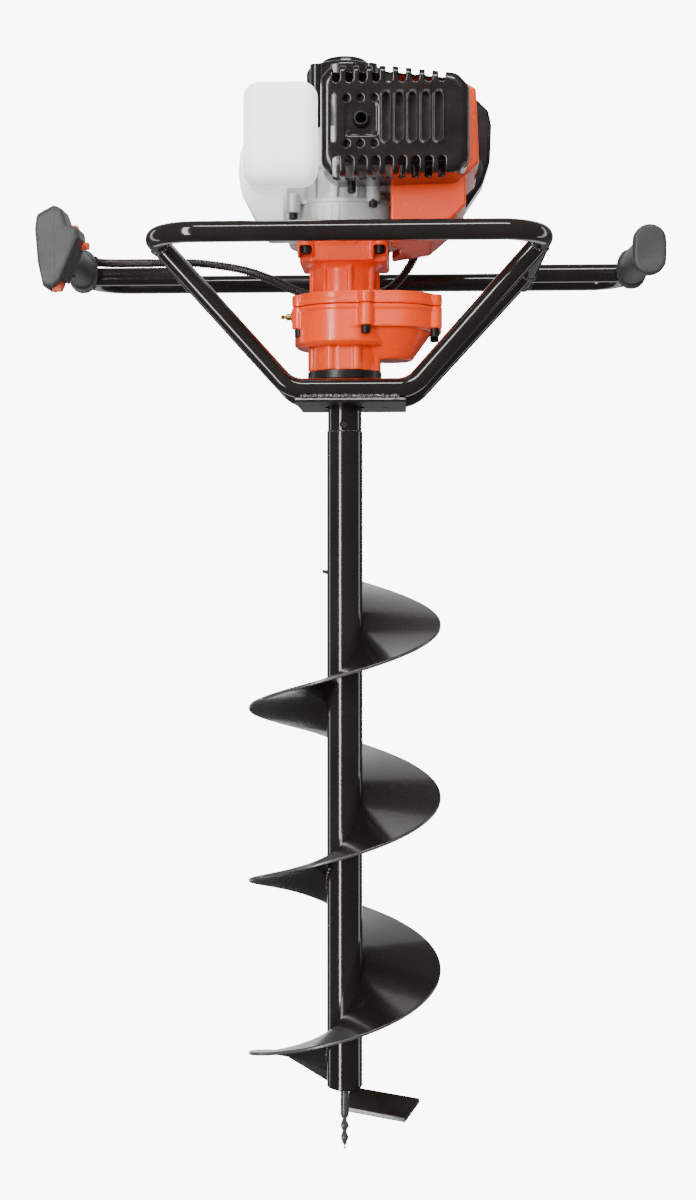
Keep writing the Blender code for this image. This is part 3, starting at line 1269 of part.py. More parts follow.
def starter_cover(group, finish):
    """The recoil starter's cover: a round shell with raised hub, cooling slots and rope guide."""
    low = CRANKCASE_TOP_Z + GAP
    body = turned(
        [(0, low), (STARTER_R, low),
         (STARTER_R, STARTER_SHOULDER_Z - 0.005), (STARTER_R - 0.005, STARTER_SHOULDER_Z),
         (STARTER_HUB_R + 0.001, STARTER_SHOULDER_Z), (STARTER_HUB_R, STARTER_TOP_Z - 0.003),
         (STARTER_HUB_R - 0.003, STARTER_TOP_Z), (0, STARTER_TOP_Z)],
        steps=FINE,
    )
    for n in range(4):
        angle = math.radians(45 + 90 * n)
        spot = ((STARTER_R - 0.001) * math.cos(angle), (STARTER_R - 0.001) * math.sin(angle))
        join(body, disc(0.0070, low, STARTER_SHOULDER_Z - 0.003, spot, steps=10))
    guide = box((-0.009, STARTER_R - 0.006, ROPE_Z - 0.008), (0.009, STARTER_R + 0.006, ROPE_Z + 0.008), 0.002)
    join(body, guide)
    cut(
        body,
        disc(STARTER_R - 0.004, low - 0.01, ROPE_Z + 0.014, steps=FINE),
        disc(0.0026, 0.02, STARTER_R + 0.02, (0, ROPE_Z), "Y", 12),
    )
    for n in range(8):
        angle = 2 * math.pi * (n + 0.5) / 8
        slot = slot_outline((STARTER_R - 0.0075, 0.0), 0.0022, 0.0062, steps=2)
        slot = prism(slot, ROPE_Z + 0.01, STARTER_SHOULDER_Z + 0.01)
        slot.data.transform(Matrix.Rotation(angle, 4, "Z"))
        cut(body, slot)
    return piece(body, "starter_cover", group, finish)


def starter_pulley(group, finish):
    low, high = ROPE_Z - 0.008, ROPE_Z + 0.008
    wheel = turned(
        [(0.0063, low), (PULLEY_R + 0.008, low), (PULLEY_R + 0.008, low + 0.003), (PULLEY_R, low + 0.006),
         (PULLEY_R, high - 0.006), (PULLEY_R + 0.008, high - 0.003), (PULLEY_R + 0.008, high), (0.0063, high)],
    )
    return piece(wheel, "starter_pulley", group, finish)


def starter_handle(group, finish):
    """The pull handle, which rests on the cover's rope guide."""
    rest = STARTER_R + 0.006 + GAP
    profile = [(0, rest), (0.0065, rest), (0.0055, rest + 0.010), (0.0075, rest + 0.016), (0, rest + 0.016)]
    stem = turned(profile, (0, ROPE_Z), "Y", 14)
    bar = box((-0.024, rest + 0.009, ROPE_Z - 0.0075), (0.024, rest + 0.022, ROPE_Z + 0.0075), 0.005, 2)
    return piece(join(stem, bar), "starter_handle", group, finish)


def carburettor(group, alloy):
    """The carburettor on its spacer behind the cylinder, under the air filter."""
    spacer_y = FIN_R + 0.003 + GAP
    body = box(
        (CARB_X - CARB_HALF_X, spacer_y + 0.016, CARB_Z - 0.015),
        (CARB_X + CARB_HALF_X, FILTER_FRONT_Y - GAP, CARB_Z + 0.015),
        0.002,
    )
    spacer = box(
        (CARB_X - 0.014, spacer_y, CARB_Z - 0.014), (CARB_X + 0.014, spacer_y + 0.018, CARB_Z + 0.014), 0.002
    )
    bowl = disc(0.012, CARB_Z + 0.014, CARB_Z + 0.021, (CARB_X, 0.078), steps=18)
    gland = disc(0.0035, CARB_Z - 0.0178, CARB_Z - 0.014, (CARB_X, 0.0760), steps=12)
    lever_post = disc(LEVER_POST_R, CARB_X + 0.015, CARB_X + 0.0215, (LEVER_Y, CARB_Z), "X", 12)
    primer_seat = disc(PRIMER_SEAT_R, PRIMER_SEAT_X, CARB_X - 0.014, (LEVER_Y, CARB_Z), "X", 16)
    join(body, spacer, bowl, gland, lever_post, primer_seat)
    cut(body, disc(0.0060, 0.02, 0.12, (CARB_X, CARB_Z), "Y", 14))
    return piece(body, "carburettor", group, alloy)


def throttle_lever(group, steel):
    """The lever that the cable pulls, on the throttle's spindle at the carburettor's side."""
    low = CARB_X + CARB_HALF_X + GAP
    outline = rounded([(-0.0055, -0.0055), (0.0055, -0.0055), (0.0045, 0.0140), (-0.0045, 0.0140)], 0.0025, 2)
    arm = prism([(LEVER_Y + u, CARB_Z - v) for u, v in outline], low, low + 0.0020, axis="X")
    cut(arm, disc(LEVER_POST_R + GAP, low - 0.01, low + 0.01, (LEVER_Y, CARB_Z), "X", 12))
    return piece(arm, "throttle_lever", group, steel)


def primer_bulb(group, rubber):
    """The primer's cap, hollow so that it slides over its seat on the carburettor when pressed."""
    inner_r = PRIMER_SEAT_R + GAP
    outer_r = inner_r + PRIMER_WALL
    rim = CARB_X - CARB_HALF_X - PRIMER_TRAVEL - GAP
    roof = PRIMER_SEAT_X - PRIMER_TRAVEL - GAP
    tip = roof - PRIMER_WALL
    dome = turned(
        [(0, roof), (inner_r, roof), (inner_r, rim), (outer_r, rim), (outer_r, roof + 0.0010),
         (outer_r * 0.8, roof - 0.0008), (outer_r * 0.4, tip), (0, tip)],
        (LEVER_Y, CARB_Z), "X", 16,
    )
    return piece(dome, "primer_bulb", group, rubber)


def filter_outline(inset=0.0):
    corners = [
        (0.0500 + inset, 0.0700 + inset), (0.1280 - inset * 0.5, 0.0700 + inset), (0.1480 - inset, 0.1000),
        (0.1560 - inset, 0.1250), (0.1575 - inset, 0.1640), (0.1540 - inset, 0.1800),
        (0.1400 - inset * 0.5, 0.1940 - inset), (0.0500 + inset, 0.1940 - inset),
    ]
    return rounded(corners, [0.008, 0.006, 0.01, 0.01, 0.006, 0.006, 0.01, 0.01], 2)


def air_filter(group, plastic):
    """The filter's base plate on the carburettor, and the cover clipped over it."""
    base = prism(filter_outline(0.0035), FILTER_FRONT_Y, FILTER_FRONT_Y + 0.006, axis="Y")
    cut(base, disc(0.0080, FILTER_FRONT_Y - 0.01, FILTER_FRONT_Y + 0.02, (CARB_X, CARB_Z), "Y", 16))
    post_spot = (CHOKE_X, CHOKE_Z)
    join(base, disc(CHOKE_POST_R, FILTER_FRONT_Y - 0.0050, FILTER_FRONT_Y + 0.002, post_spot, "Y", 12))
    piece(base, "air_filter_base", group, plastic)
    back = FILTER_BACK_Y

    def section(level, inset):
        return [Vector((u, level, v)) for u, v in filter_outline(inset)]

    cover = loft(
        [section(FILTER_FRONT_Y + 0.001, 0), section(back - 0.012, 0),
         section(back - 0.004, 0.003), section(back, 0.010)]
    )
    hollow = loft(
        [section(FILTER_FRONT_Y - 0.01, 0.0032), section(back - 0.012, 0.0032), section(back - 0.0025, 0.012)]
    )
    cut(cover, hollow)
    for n in range(4):
        z = 0.152 - 0.012 * n
        slot = slot_outline((CARB_X + 0.022, z), 0.0017, 0.020, math.pi / 2, 2)
        cut(cover, prism(slot, back - 0.02, back + 0.01, axis="Y"))
    return piece(cover, "air_filter_cover", group, plastic)


def choke_lever(group, finish):
    """The choke lever in front of the filter's base plate, turned with a finger."""
    back = FILTER_FRONT_Y - GAP
    outline = [(-0.0055, -0.0220), (0.0055, -0.0220), (0.0060, 0.0050), (-0.0060, 0.0050)]
    shape = [(CHOKE_X + u, CHOKE_Z + v) for u, v in rounded(outline, 0.003, 2)]
    arm = prism(shape, back - 0.0028, back, axis="Y")
    cut(arm, disc(CHOKE_POST_R + GAP, back - 0.01, back + 0.01, (CHOKE_X, CHOKE_Z), "Y", 12))
    return piece(arm, "choke_lever", group, finish)


def build():
    clear_scene()
    black_paint = material("black_gloss_paint", BLACK, 0.22)
    orange_paint = material("orange_gloss_paint", ORANGE, 0.30)
    rubber = material("dark_grey_rubber", (0.085, 0.085, 0.09), 0.62)
    plastic = material("black_plastic", (0.015, 0.015, 0.015), 0.35)
    red_plastic = material("orange_red_plastic", (0.75, 0.08, 0.03), 0.40)
    alloy = material("cast_aluminium", (0.62, 0.62, 0.63), 0.45, 0.6)
    steel = material("bright_steel", (0.55, 0.55, 0.55), 0.35, 1.0)
    dark_steel = material("hot_black_steel", (0.03, 0.03, 0.03), 0.50, 0.5)
    brass = material("brass", (0.60, 0.42, 0.16), 0.35, 1.0)
    tank_plastic = material("translucent_plastic", (0.80, 0.81, 0.80), 0.45)
    ceramic = material("white_ceramic", (0.85, 0.85, 0.82), 0.25)
    lining = material("clutch_lining", (0.10, 0.08, 0.06), 0.80)

    machine = assembly("machine")
    auger_spin = assembly("auger_spin_axis", (0, 0, PLATE_UNDER_Z))
    lay_spin = assembly("layshaft_spin_axis", (CENTRE_DISTANCE, 0, SPLIT_Z))
    input_spin = assembly("input_spin_axis", (0, 0, SPLIT_Z))
    crank_spin = assembly("crank_spin_axis", (0, 0, FLYWHEEL_LOW_Z))
    front_shoe_axis = assembly("front_shoe_axis", (0, -SHOE_PIN_Y, FLYWHEEL_LOW_Z))
    rear_shoe_axis = assembly("rear_shoe_axis", (0, SHOE_PIN_Y, FLYWHEEL_LOW_Z))
    trigger_axis = assembly("trigger_axis", (LEFT_X, TRIGGER_PIVOT_Y, TRIGGER_PIVOT_Z))
    interlock_axis = assembly("interlock_axis", (LEFT_X, INTERLOCK_PIVOT_Y, INTERLOCK_PIVOT_Z))
    switch_axis = assembly("switch_axis", (SWITCH_X, -0.041, SWITCH_FLOOR_Z))
    button_axis = assembly("button_axis", (LEFT_X + 0.020, BUTTON_Y, BUTTON_Z))
    cap_axis = assembly("cap_axis", (CAP_X, CAP_Y, TANK_TOP_Z))
    handle_axis = assembly("starter_handle_axis", (0, STARTER_R, ROPE_Z))
    pulley_axis = assembly("starter_pulley_axis", (0, 0, ROPE_Z))
    lever_axis = assembly("throttle_lever_axis", (CARB_X, LEVER_Y, CARB_Z))
    choke_axis = assembly("choke_axis", (CHOKE_X, FILTER_FRONT_Y, CHOKE_Z))
    primer_axis = assembly("primer_axis", (CARB_X, LEVER_Y, CARB_Z))

    tube_frame(machine, black_paint)
    mounting_plate(machine, black_paint)
    base_ring(machine, plastic)
    lower_case(machine, orange_paint)
    upper_case(machine, orange_paint)
    bearing("output_bearing", machine, steel, SHAFT_R + GAP, BIG_BEARING_R, -0.1035, CAVITY_FLOOR_Z)
    seal_levels = (NECK_END_Z + 0.001, NECK_END_Z + 0.009)
    bearing("output_seal", machine, rubber, SHAFT_R + GAP, BIG_BEARING_R, *seal_levels)
    lay_centre = (CENTRE_DISTANCE, 0)
    bearing(
        "layshaft_bearing_lower", machine, steel, LAY_SHAFT_R + GAP, SMALL_BEARING_R,
        CAVITY_FLOOR_Z - 0.010, CAVITY_FLOOR_Z - 0.001, lay_centre,
    )
    bearing(
        "layshaft_bearing_upper", machine, steel, LAY_SHAFT_R + GAP, SMALL_BEARING_R,
        SPLIT_Z + 0.001, SPLIT_Z + 0.009, lay_centre,
    )
    bearing(
        "input_bearing", machine, steel,
        INPUT_SHAFT_R + GAP, INPUT_BEARING_R, COVER_TOP_Z - 0.001, COVER_TOP_Z + 0.010,
    )
    grease_nipple(machine, brass)

    output_train(auger_spin, steel)
    pin = drive_socket(auger_spin, black_paint)
    piece(pin, "coupling_pin", auger_spin, steel)
    auger_bit(auger_spin, black_paint, steel)
    lay_train(lay_spin, steel)
    input_train(input_spin, steel)

    right_grip(machine, rubber)
    throttle_handle(machine, rubber)
    throttle_trigger(trigger_axis, red_plastic)
    throttle_interlock(interlock_axis, plastic)
    stop_switch(switch_axis, red_plastic)
    lock_button(button_axis, red_plastic)
    throttle_cable(machine, plastic)

    fan_housing(machine, alloy)
    crankcase(machine, alloy)
    crank_train(crank_spin, steel, alloy)
    clutch_shoe("clutch_shoe_front", -1, front_shoe_axis, lining)
    clutch_shoe("clutch_shoe_rear", 1, rear_shoe_axis, lining)
    cylinder(machine, alloy)
    cylinder_shroud(machine, orange_paint)
    spark_plug(machine, ceramic, rubber)
    muffler(machine, dark_steel)
    muffler_guard(machine, plastic)
    fuel_tank(machine, tank_plastic)
    fuel_cap(cap_axis, plastic)
    starter_cover(machine, plastic)
    starter_pulley(pulley_axis, plastic)
    starter_handle(handle_axis, plastic)
    carburettor(machine, alloy)
    throttle_lever(lever_axis, steel)
    primer_bulb(primer_axis, rubber)
    air_filter(machine, plastic)
    choke_lever(choke_axis, plastic)


build()
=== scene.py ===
"""Looks of the petrol earth auger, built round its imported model.

Metres, +Z up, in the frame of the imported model. Each sub-assembly is a class that keeps its sizes, builds
its meshes and dresses them, and every piece rides on the body that it moves with.
"""

import json
import logging
import math
from dataclasses import dataclass
from enum import Enum

import bmesh
import bpy
from mathutils import Matrix, Vector


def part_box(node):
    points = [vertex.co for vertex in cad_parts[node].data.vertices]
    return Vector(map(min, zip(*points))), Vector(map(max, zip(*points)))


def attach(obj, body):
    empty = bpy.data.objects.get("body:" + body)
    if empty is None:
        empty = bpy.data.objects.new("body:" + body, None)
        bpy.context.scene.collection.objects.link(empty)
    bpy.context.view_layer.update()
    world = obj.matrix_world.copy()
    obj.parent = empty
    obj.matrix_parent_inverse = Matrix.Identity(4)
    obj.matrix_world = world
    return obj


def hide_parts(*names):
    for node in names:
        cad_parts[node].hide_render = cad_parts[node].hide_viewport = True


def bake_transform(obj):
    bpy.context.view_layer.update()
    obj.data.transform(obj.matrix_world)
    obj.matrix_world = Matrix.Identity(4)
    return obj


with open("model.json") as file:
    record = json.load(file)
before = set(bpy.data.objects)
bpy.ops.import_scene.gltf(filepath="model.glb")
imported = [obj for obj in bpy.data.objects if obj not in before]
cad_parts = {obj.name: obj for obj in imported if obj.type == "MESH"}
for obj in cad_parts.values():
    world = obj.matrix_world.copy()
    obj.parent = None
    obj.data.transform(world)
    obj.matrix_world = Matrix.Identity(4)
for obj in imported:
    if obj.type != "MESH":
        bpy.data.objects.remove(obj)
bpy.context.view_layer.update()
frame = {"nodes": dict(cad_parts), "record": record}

LOG = logging.getLogger("earth_auger")
GAP = 0.0003
PLATE_TOP_Z = -0.151
EAR_CIRCLE = 0.0425

Point = tuple[float, float]
Spot = tuple[float, float, float]
Node = bpy.types.Object


class Wire:
    """An output socket of a node, which can stand in sums, products and powers."""

    def __init__(self, graph: "Graph", socket: bpy.types.NodeSocket) -> None:
        """Args: graph, the tree's node maker. socket, the output that this wire carries."""
        self.graph = graph
        self.socket = socket

    def _math(self, operation: str, first: object, second: object) -> "Wire":
        """One Math node.

        Args: operation, the Math node's operation. first, second, numbers or wires.
        Returns: the node's output.
        """
        return self.graph.node("ShaderNodeMath", {"operation": operation}, {0: first, 1: second})

    def __add__(self, other: object) -> "Wire":
        """self + other."""
        return self._math("ADD", self, other)

    def __radd__(self, other: object) -> "Wire":
        """other + self."""
        return self._math("ADD", other, self)

    def __sub__(self, other: object) -> "Wire":
        """self - other."""
        return self._math("SUBTRACT", self, other)

    def __mul__(self, other: object) -> "Wire":
        """self * other."""
        return self._math("MULTIPLY", self, other)

    def __pow__(self, other: object) -> "Wire":
        """self ** other."""
        return self._math("POWER", self, other)

    def __gt__(self, other: object) -> "Wire":
        """One where self is more than other, and zero elsewhere."""
        return self._math("GREATER_THAN", self, other)

    def sine(self) -> "Wire":
        """The sine of this angle."""
        return self._math("SINE", self, 0.0)

    def cosine(self) -> "Wire":
        """The cosine of this angle."""
        return self._math("COSINE", self, 0.0)

    def ramp(self, low: float, high: float, start: float = 0.0, end: float = 1.0) -> "Wire":
        """Move from one span to another with soft ends.

        Args: low, high, the span of this value. start, end, the values that they become.
        Returns: the mapped value.
        """
        return self.graph.node(
            "ShaderNodeMapRange",
            {"interpolation_type": "SMOOTHSTEP"},
            {"Value": self, "From Min": low, "From Max": high, "To Min": start, "To Max": end},
        )


class Graph:
    """Adds nodes to a node tree."""

    def __init__(self, tree: bpy.types.NodeTree) -> None:
        """Args: tree, the node tree that it works on."""
        self.tree = tree

    def node(
        self, kind: str, settings: dict | None = None, sockets: dict | None = None, output: object = 0
    ) -> Wire:
        """Make a node.

        Args: kind, its type. settings, its own properties. sockets, a value or a wire for each input.
            output, the number or name of the output that is wanted.
        Returns: that output.
        """
        made = self.tree.nodes.new(kind)
        for key, value in (settings or {}).items():
            setattr(made, key, value)
        for key, value in (sockets or {}).items():
            if isinstance(value, Wire):
                self.tree.links.new(value.socket, made.inputs[key])
            else:
                made.inputs[key].default_value = value
        return Wire(self, made.outputs[output])

    def parts_of(self, vector: Wire) -> tuple[Wire, Wire, Wire]:
        """The three coordinates of a vector."""
        split = self.node("ShaderNodeSeparateXYZ", None, {"Vector": vector})
        return tuple(Wire(self, socket) for socket in split.socket.node.outputs)


class Bench(Graph):
    """Makes one material and its nodes."""

    def __init__(self, name: str) -> None:
        """Args: name, the material's name."""
        self.material = bpy.data.materials.new(name)
        self.material.use_nodes = True
        super().__init__(self.material.node_tree)
        self.shader = self.tree.nodes["Principled BSDF"]

    def place(self) -> Wire:
        """The point of the surface in the object's own coordinates."""
        return self.node("ShaderNodeTexCoord", output=3)

    def axes(self) -> tuple[Wire, Wire, Wire]:
        """The three coordinates of the point of the surface."""
        return self.parts_of(self.place())

    def noise(self, scale: float, detail: float = 3.0, stretch: tuple[float, float, float] = (1, 1, 1)) -> Wire:
        """Soft noise.

        Args: scale, features per metre. detail, its octaves. stretch, the scale along each axis.
        Returns: a value about 0.5.
        """
        point = self.place()
        if stretch != (1, 1, 1):
            point = self.node("ShaderNodeMapping", None, {"Vector": point, "Scale": stretch})
        return self.node("ShaderNodeTexNoise", None, {"Vector": point, "Scale": scale, "Detail": detail})

    def cells(self, scale: float) -> Wire:
        """The distance to the nearest of scattered points, which makes pebbled grain.

        Args: scale, points per metre.
        Returns: the distance, from zero up.
        """
        return self.node("ShaderNodeTexVoronoi", None, {"Vector": self.place(), "Scale": scale})

    def blend(self, share: object, first: object, second: object) -> Wire:
        """Mix two colours.

        Args: share, from 0 for the first to 1 for the second. first, second, colours or wires.
        Returns: the mixed colour.
        """
        return self.node(
            "ShaderNodeMix", {"data_type": "RGBA"}, {0: share, 6: solid(first), 7: solid(second)}, 2
        )

    def relief(self, height: Wire, depth: float, strength: float = 1.0) -> None:
        """Raise the surface by a height.

        Args: height, about 0 to 1. depth, metres for 1. strength, its share.
        """
        bump = self.node("ShaderNodeBump", None, {"Strength": strength, "Distance": depth, "Height": height})
        self.tree.links.new(bump.socket, self.shader.inputs["Normal"])

    def paint(self, **sockets: object) -> bpy.types.Material:
        """Set the surface shader's sockets, with an underscore in place of each space.

        Returns: the finished material.
        """
        for key, value in sockets.items():
            socket = self.shader.inputs[key.replace("_", " ")]
            if isinstance(value, Wire):
                self.tree.links.new(value.socket, socket)
            else:
                socket.default_value = solid(value) if socket.type == "RGBA" else value
        return self.material


def solid(value: object) -> object:
    """A colour of three parts becomes one of four; anything else stays."""
    return (*value, 1.0) if isinstance(value, tuple) and len(value) == 3 else value


class Surface(Enum):
    """The record's material slots."""

    BLACK_PAINT = "black_gloss_paint"
    ORANGE_PAINT = "orange_gloss_paint"
    GRIP_RUBBER = "dark_grey_rubber"
    BLACK_PLASTIC = "black_plastic"
    RED_PLASTIC = "orange_red_plastic"
    ALLOY = "cast_aluminium"
    STEEL = "bright_steel"
    HOT_STEEL = "hot_black_steel"
    BRASS = "brass"
    TANK = "translucent_plastic"
    CERAMIC = "white_ceramic"
    LINING = "clutch_lining"


@dataclass(frozen=True)
class GlossPaint:
    """Sprayed enamel: a faint waviness, a clear top and a little dust in its gloss."""

    name: str
    colour: tuple[float, float, float]
    shade: tuple[float, float, float]
    roughness: float = 0.22
    wave: float = 0.00006
    coat: float = 0.5

    def make(self) -> bpy.types.Material:
        """The paint's material."""
        bench = Bench(self.name)
        drift = bench.noise(9.0, 4.0)
        fine = bench.noise(240.0, 2.0)
        dust = bench.noise(55.0, 6.0).ramp(0.48, 0.80)
        bench.relief(fine + bench.noise(60.0, 1.0) * 1.6, self.wave)
        return bench.paint(
            Base_Color=bench.blend(drift.ramp(0.35, 0.7), self.colour, self.shade),
            Roughness=self.roughness + dust * 0.08 + drift * 0.03,
            Coat_Weight=self.coat,
            Coat_Roughness=0.04,
        )


@dataclass(frozen=True)
class HighlitPlate:
    """Dull black enamel on the mounting plate, with painted highlights: bright metal-coloured bands on its
    front's upper edge and along its rear.
    """

    name: str
    edge_z: float = -0.1528
    front_y: float = -0.064
    band_y: float = 0.0530
    colour: tuple[float, float, float] = (0.010, 0.0085, 0.0075)
    # The colour of the painted highlights, like bare steel.
    bare_and_highlight: tuple[float, float, float] = (0.46, 0.42, 0.39)

    def make(self) -> bpy.types.Material:
        """The plate's material."""
        bench = Bench(self.name)
        _, y, z = bench.axes()
        wander = (bench.noise(90.0, 4.0) - 0.5) * 0.0010
        # Painted highlight: a bright metal-coloured band along the front's upper edge, and a fainter one along
        # the rear.
        front = ((z + wander) > self.edge_z) * ((wander - y) > -self.front_y)
        painted_highlight = front + ((y + wander) > self.band_y) * 0.8
        cloud = bench.noise(60.0, 5.0)
        bench.relief(bench.noise(220.0, 3.0), 0.00005)
        return bench.paint(
            Base_Color=bench.blend(painted_highlight * 0.8, self.colour, self.bare_and_highlight),
            Roughness=0.34 + cloud * 0.16,
            Metallic=painted_highlight * 0.3,
            Specular_IOR_Level=0.10,
        )


@dataclass(frozen=True)
class EdgeWornHighlitPaint:
    """Black enamel on the screw flight, lighter along its outer edge: partly wear to bare metal, partly a
    painted highlight.
    """

    name: str
    colour: tuple[float, float, float]
    # The edge colour: bare metal from wear, and a painted highlight.
    bare_and_highlight: tuple[float, float, float]
    edge_r: float = 0.0996
    roughness: float = 0.20

    def make(self) -> bpy.types.Material:
        """The paint's material."""
        bench = Bench(self.name)
        x, y, _ = bench.axes()
        radius = (x * x + y * y) ** 0.5
        rough_edge = radius + (bench.noise(120.0, 4.0) - 0.5) * 0.0012
        # The outer edge is lighter and more metallic: partly wear, partly a painted highlight along the rim.
        wear_and_highlight = rough_edge > self.edge_r
        scuff = bench.noise(35.0, 8.0, (1, 1, 3)).ramp(0.60, 0.82)
        bench.relief(bench.noise(70.0, 2.0) + scuff * 0.4, 0.00012)
        return bench.paint(
            Base_Color=bench.blend(wear_and_highlight * 0.16 + scuff * 0.015, self.colour, self.bare_and_highlight),
            Roughness=self.roughness + scuff * 0.22 + wear_and_highlight * 0.12,
            Metallic=wear_and_highlight * 0.3,
            Coat_Weight=0.4,
            Coat_Roughness=0.08,
        )


@dataclass(frozen=True)
class CastAlloy:
    """Die-cast aluminium with a fine sandy skin."""

    name: str
    colour: tuple[float, float, float] = (0.62, 0.62, 0.61)
    shade: tuple[float, float, float] = (0.45, 0.45, 0.45)

    def make(self) -> bpy.types.Material:
        """The casting's material."""
        bench = Bench(self.name)
        cloud = bench.noise(40.0, 6.0)
        grain = bench.noise(1500.0, 3.0)
        bench.relief(grain + bench.cells(900.0) * 0.6, 0.00010)
        return bench.paint(
            Base_Color=bench.blend(cloud.ramp(0.35, 0.75), self.colour, self.shade),
            Roughness=0.42 + cloud * 0.18,
            Metallic=0.55,
        )


@dataclass(frozen=True)
class Moulded:
    """Injection-moulded plastic or rubber with a pebbled grain."""

    name: str
    colour: tuple[float, float, float]
    shade: tuple[float, float, float]
    roughness: float
    grain: float = 1400.0
    depth: float = 0.00008
    coat: float = 0.0

    def make(self) -> bpy.types.Material:
        """The moulding's material."""
        bench = Bench(self.name)
        flow = bench.noise(25.0, 5.0, (1, 1, 2.5))
        pebble = bench.cells(self.grain)
        bench.relief(pebble + bench.noise(90.0, 2.0) * 0.8, self.depth)
        return bench.paint(
            Base_Color=bench.blend(flow.ramp(0.3, 0.75), self.colour, self.shade),
            Roughness=self.roughness + flow * 0.10 + pebble * 0.06,
            Coat_Weight=self.coat,
            Coat_Roughness=0.12,
        )


@dataclass(frozen=True)
class Machined:
    """Bare metal turned or ground, with rings round its axis."""

    name: str
    colour: tuple[float, float, float]
    shade: tuple[float, float, float]
    roughness: float = 0.24
    rings: tuple[float, float, float] = (1, 1, 40)
    metallic: float = 1.0

    def make(self) -> bpy.types.Material:
        """The metal's material."""
        bench = Bench(self.name)
        rings = bench.noise(60.0, 4.0, self.rings)
        stain = bench.noise(70.0, 5.0)
        bench.relief(rings, 0.00004)
        return bench.paint(
            Base_Color=bench.blend(stain.ramp(0.45, 0.8), self.colour, self.shade),
            Roughness=self.roughness + rings * 0.14 + stain * 0.08,
            Metallic=self.metallic,
        )


@dataclass(frozen=True)
class TankPlastic:
    """Milky blow-moulded plastic: light passes into it, a painted glow stands in for light shining through, and
    painted shade greys it towards the bottom.
    """

    name: str
    colour: tuple[float, float, float] = (0.90, 0.91, 0.90)
    # The grey of the painted shade, reached towards the bottom.
    shade: tuple[float, float, float] = (0.62, 0.62, 0.60)
    low_z: float = 0.030
    high_z: float = 0.105

    def make(self) -> bpy.types.Material:
        """The tank's material."""
        bench = Bench(self.name)
        _, _, z = bench.axes()
        # Painted shade: darker towards the bottom.
        painted_low_shade = z.ramp(self.low_z, self.high_z, 1.0, 0.0)
        cloud = bench.noise(18.0, 3.0)
        bench.relief(bench.noise(600.0, 3.0) + bench.noise(25.0, 1.0) * 3.0, 0.00010)
        return bench.paint(
            Base_Color=bench.blend(painted_low_shade * 0.75 + cloud * 0.12, self.colour, self.shade),
            Roughness=0.36 + cloud * 0.10,
            Subsurface_Weight=0.35,
            Subsurface_Radius=(0.012, 0.012, 0.012),
            Subsurface_Scale=1.0,
            # Painted glow: the tank emits light, bright above and dim below, standing in for light shining
            # through it.
            Emission_Color=bench.blend(painted_low_shade, (0.95, 0.95, 0.94), (0.10, 0.10, 0.10)),
            Emission_Strength=1.5,
        )


@dataclass(frozen=True)
class WeldMetal:
    """Painted weld metal, rough and blobbed, with painted glints: light metallic specks standing in for
    highlights.
    """

    name: str
    colour: tuple[float, float, float] = (0.016, 0.015, 0.014)

    def make(self) -> bpy.types.Material:
        """The weld's material."""
        bench = Bench(self.name)
        lumps_and_glints = bench.noise(900.0, 4.0)
        bench.relief(lumps_and_glints, 0.0004)
        return bench.paint(
            # Painted glints: the tops of the lumps turn light and metallic, as highlights.
            Base_Color=bench.blend(lumps_and_glints.ramp(0.52, 0.66), self.colour, (0.55, 0.54, 0.52)),
            Roughness=0.16 + lumps_and_glints * 0.16,
            Metallic=lumps_and_glints.ramp(0.52, 0.66) * 0.7,
            Coat_Weight=0.6,
        )


FINISHES = {
    Surface.BLACK_PAINT: GlossPaint(
        "black_gloss_paint_finish", (0.011, 0.0085, 0.0070), (0.017, 0.0135, 0.0115), 0.10
    ),
    Surface.ORANGE_PAINT: GlossPaint(
        "orange_gloss_paint_finish", (0.92, 0.064, 0.0030), (0.86, 0.054, 0.0025), 0.22, 0.00010, 0.15
    ),
    Surface.GRIP_RUBBER: Moulded(
        "dark_grey_rubber_finish", (0.036, 0.0355, 0.036), (0.055, 0.054, 0.055), 0.42
    ),
    Surface.BLACK_PLASTIC: Moulded(
        "black_plastic_finish", (0.014, 0.0110, 0.0095), (0.021, 0.0170, 0.0150), 0.24, 900.0, 0.00003, 0.3
    ),
    Surface.RED_PLASTIC: Moulded("orange_red_plastic_finish", (0.78, 0.085, 0.022), (0.66, 0.065, 0.018), 0.34),
    Surface.ALLOY: CastAlloy("cast_aluminium_finish"),
    Surface.STEEL: Machined("bright_steel_finish", (0.52, 0.52, 0.51), (0.34, 0.33, 0.32)),
    Surface.HOT_STEEL: Machined(
        "hot_black_steel_finish", (0.030, 0.028, 0.027), (0.075, 0.055, 0.045), 0.42, (1, 1, 1), 0.6
    ),
    Surface.BRASS: Machined("brass_finish", (0.72, 0.50, 0.18), (0.45, 0.32, 0.14), 0.22, (40, 1, 1)),
    Surface.TANK: TankPlastic("translucent_plastic_painted_glow_finish"),
    Surface.CERAMIC: Moulded(
        "white_ceramic_finish", (0.86, 0.86, 0.83), (0.78, 0.78, 0.75), 0.12, 300.0, 0.00001, 0.6
    ),
    Surface.LINING: Moulded(
        "clutch_lining_finish", (0.10, 0.075, 0.055), (0.16, 0.13, 0.10), 0.75, 700.0, 0.0002
    ),
}
SCREW_PAINT = EdgeWornHighlitPaint("screw_flight_finish", (0.011, 0.0085, 0.0070), (0.46, 0.45, 0.43))
CUTTER_PAINT = GlossPaint("cutter_finish", (0.012, 0.0095, 0.0080), (0.040, 0.036, 0.032), 0.20)
PILOT_PAINT = GlossPaint("pilot_finish", (0.030, 0.028, 0.026), (0.11, 0.105, 0.10), 0.22)
GUARD_PLASTIC = Moulded(
    "guard_plastic_finish", (0.0085, 0.0062, 0.0054), (0.0145, 0.0112, 0.0098), 0.15, 700.0, 0.00002, 0.5
)
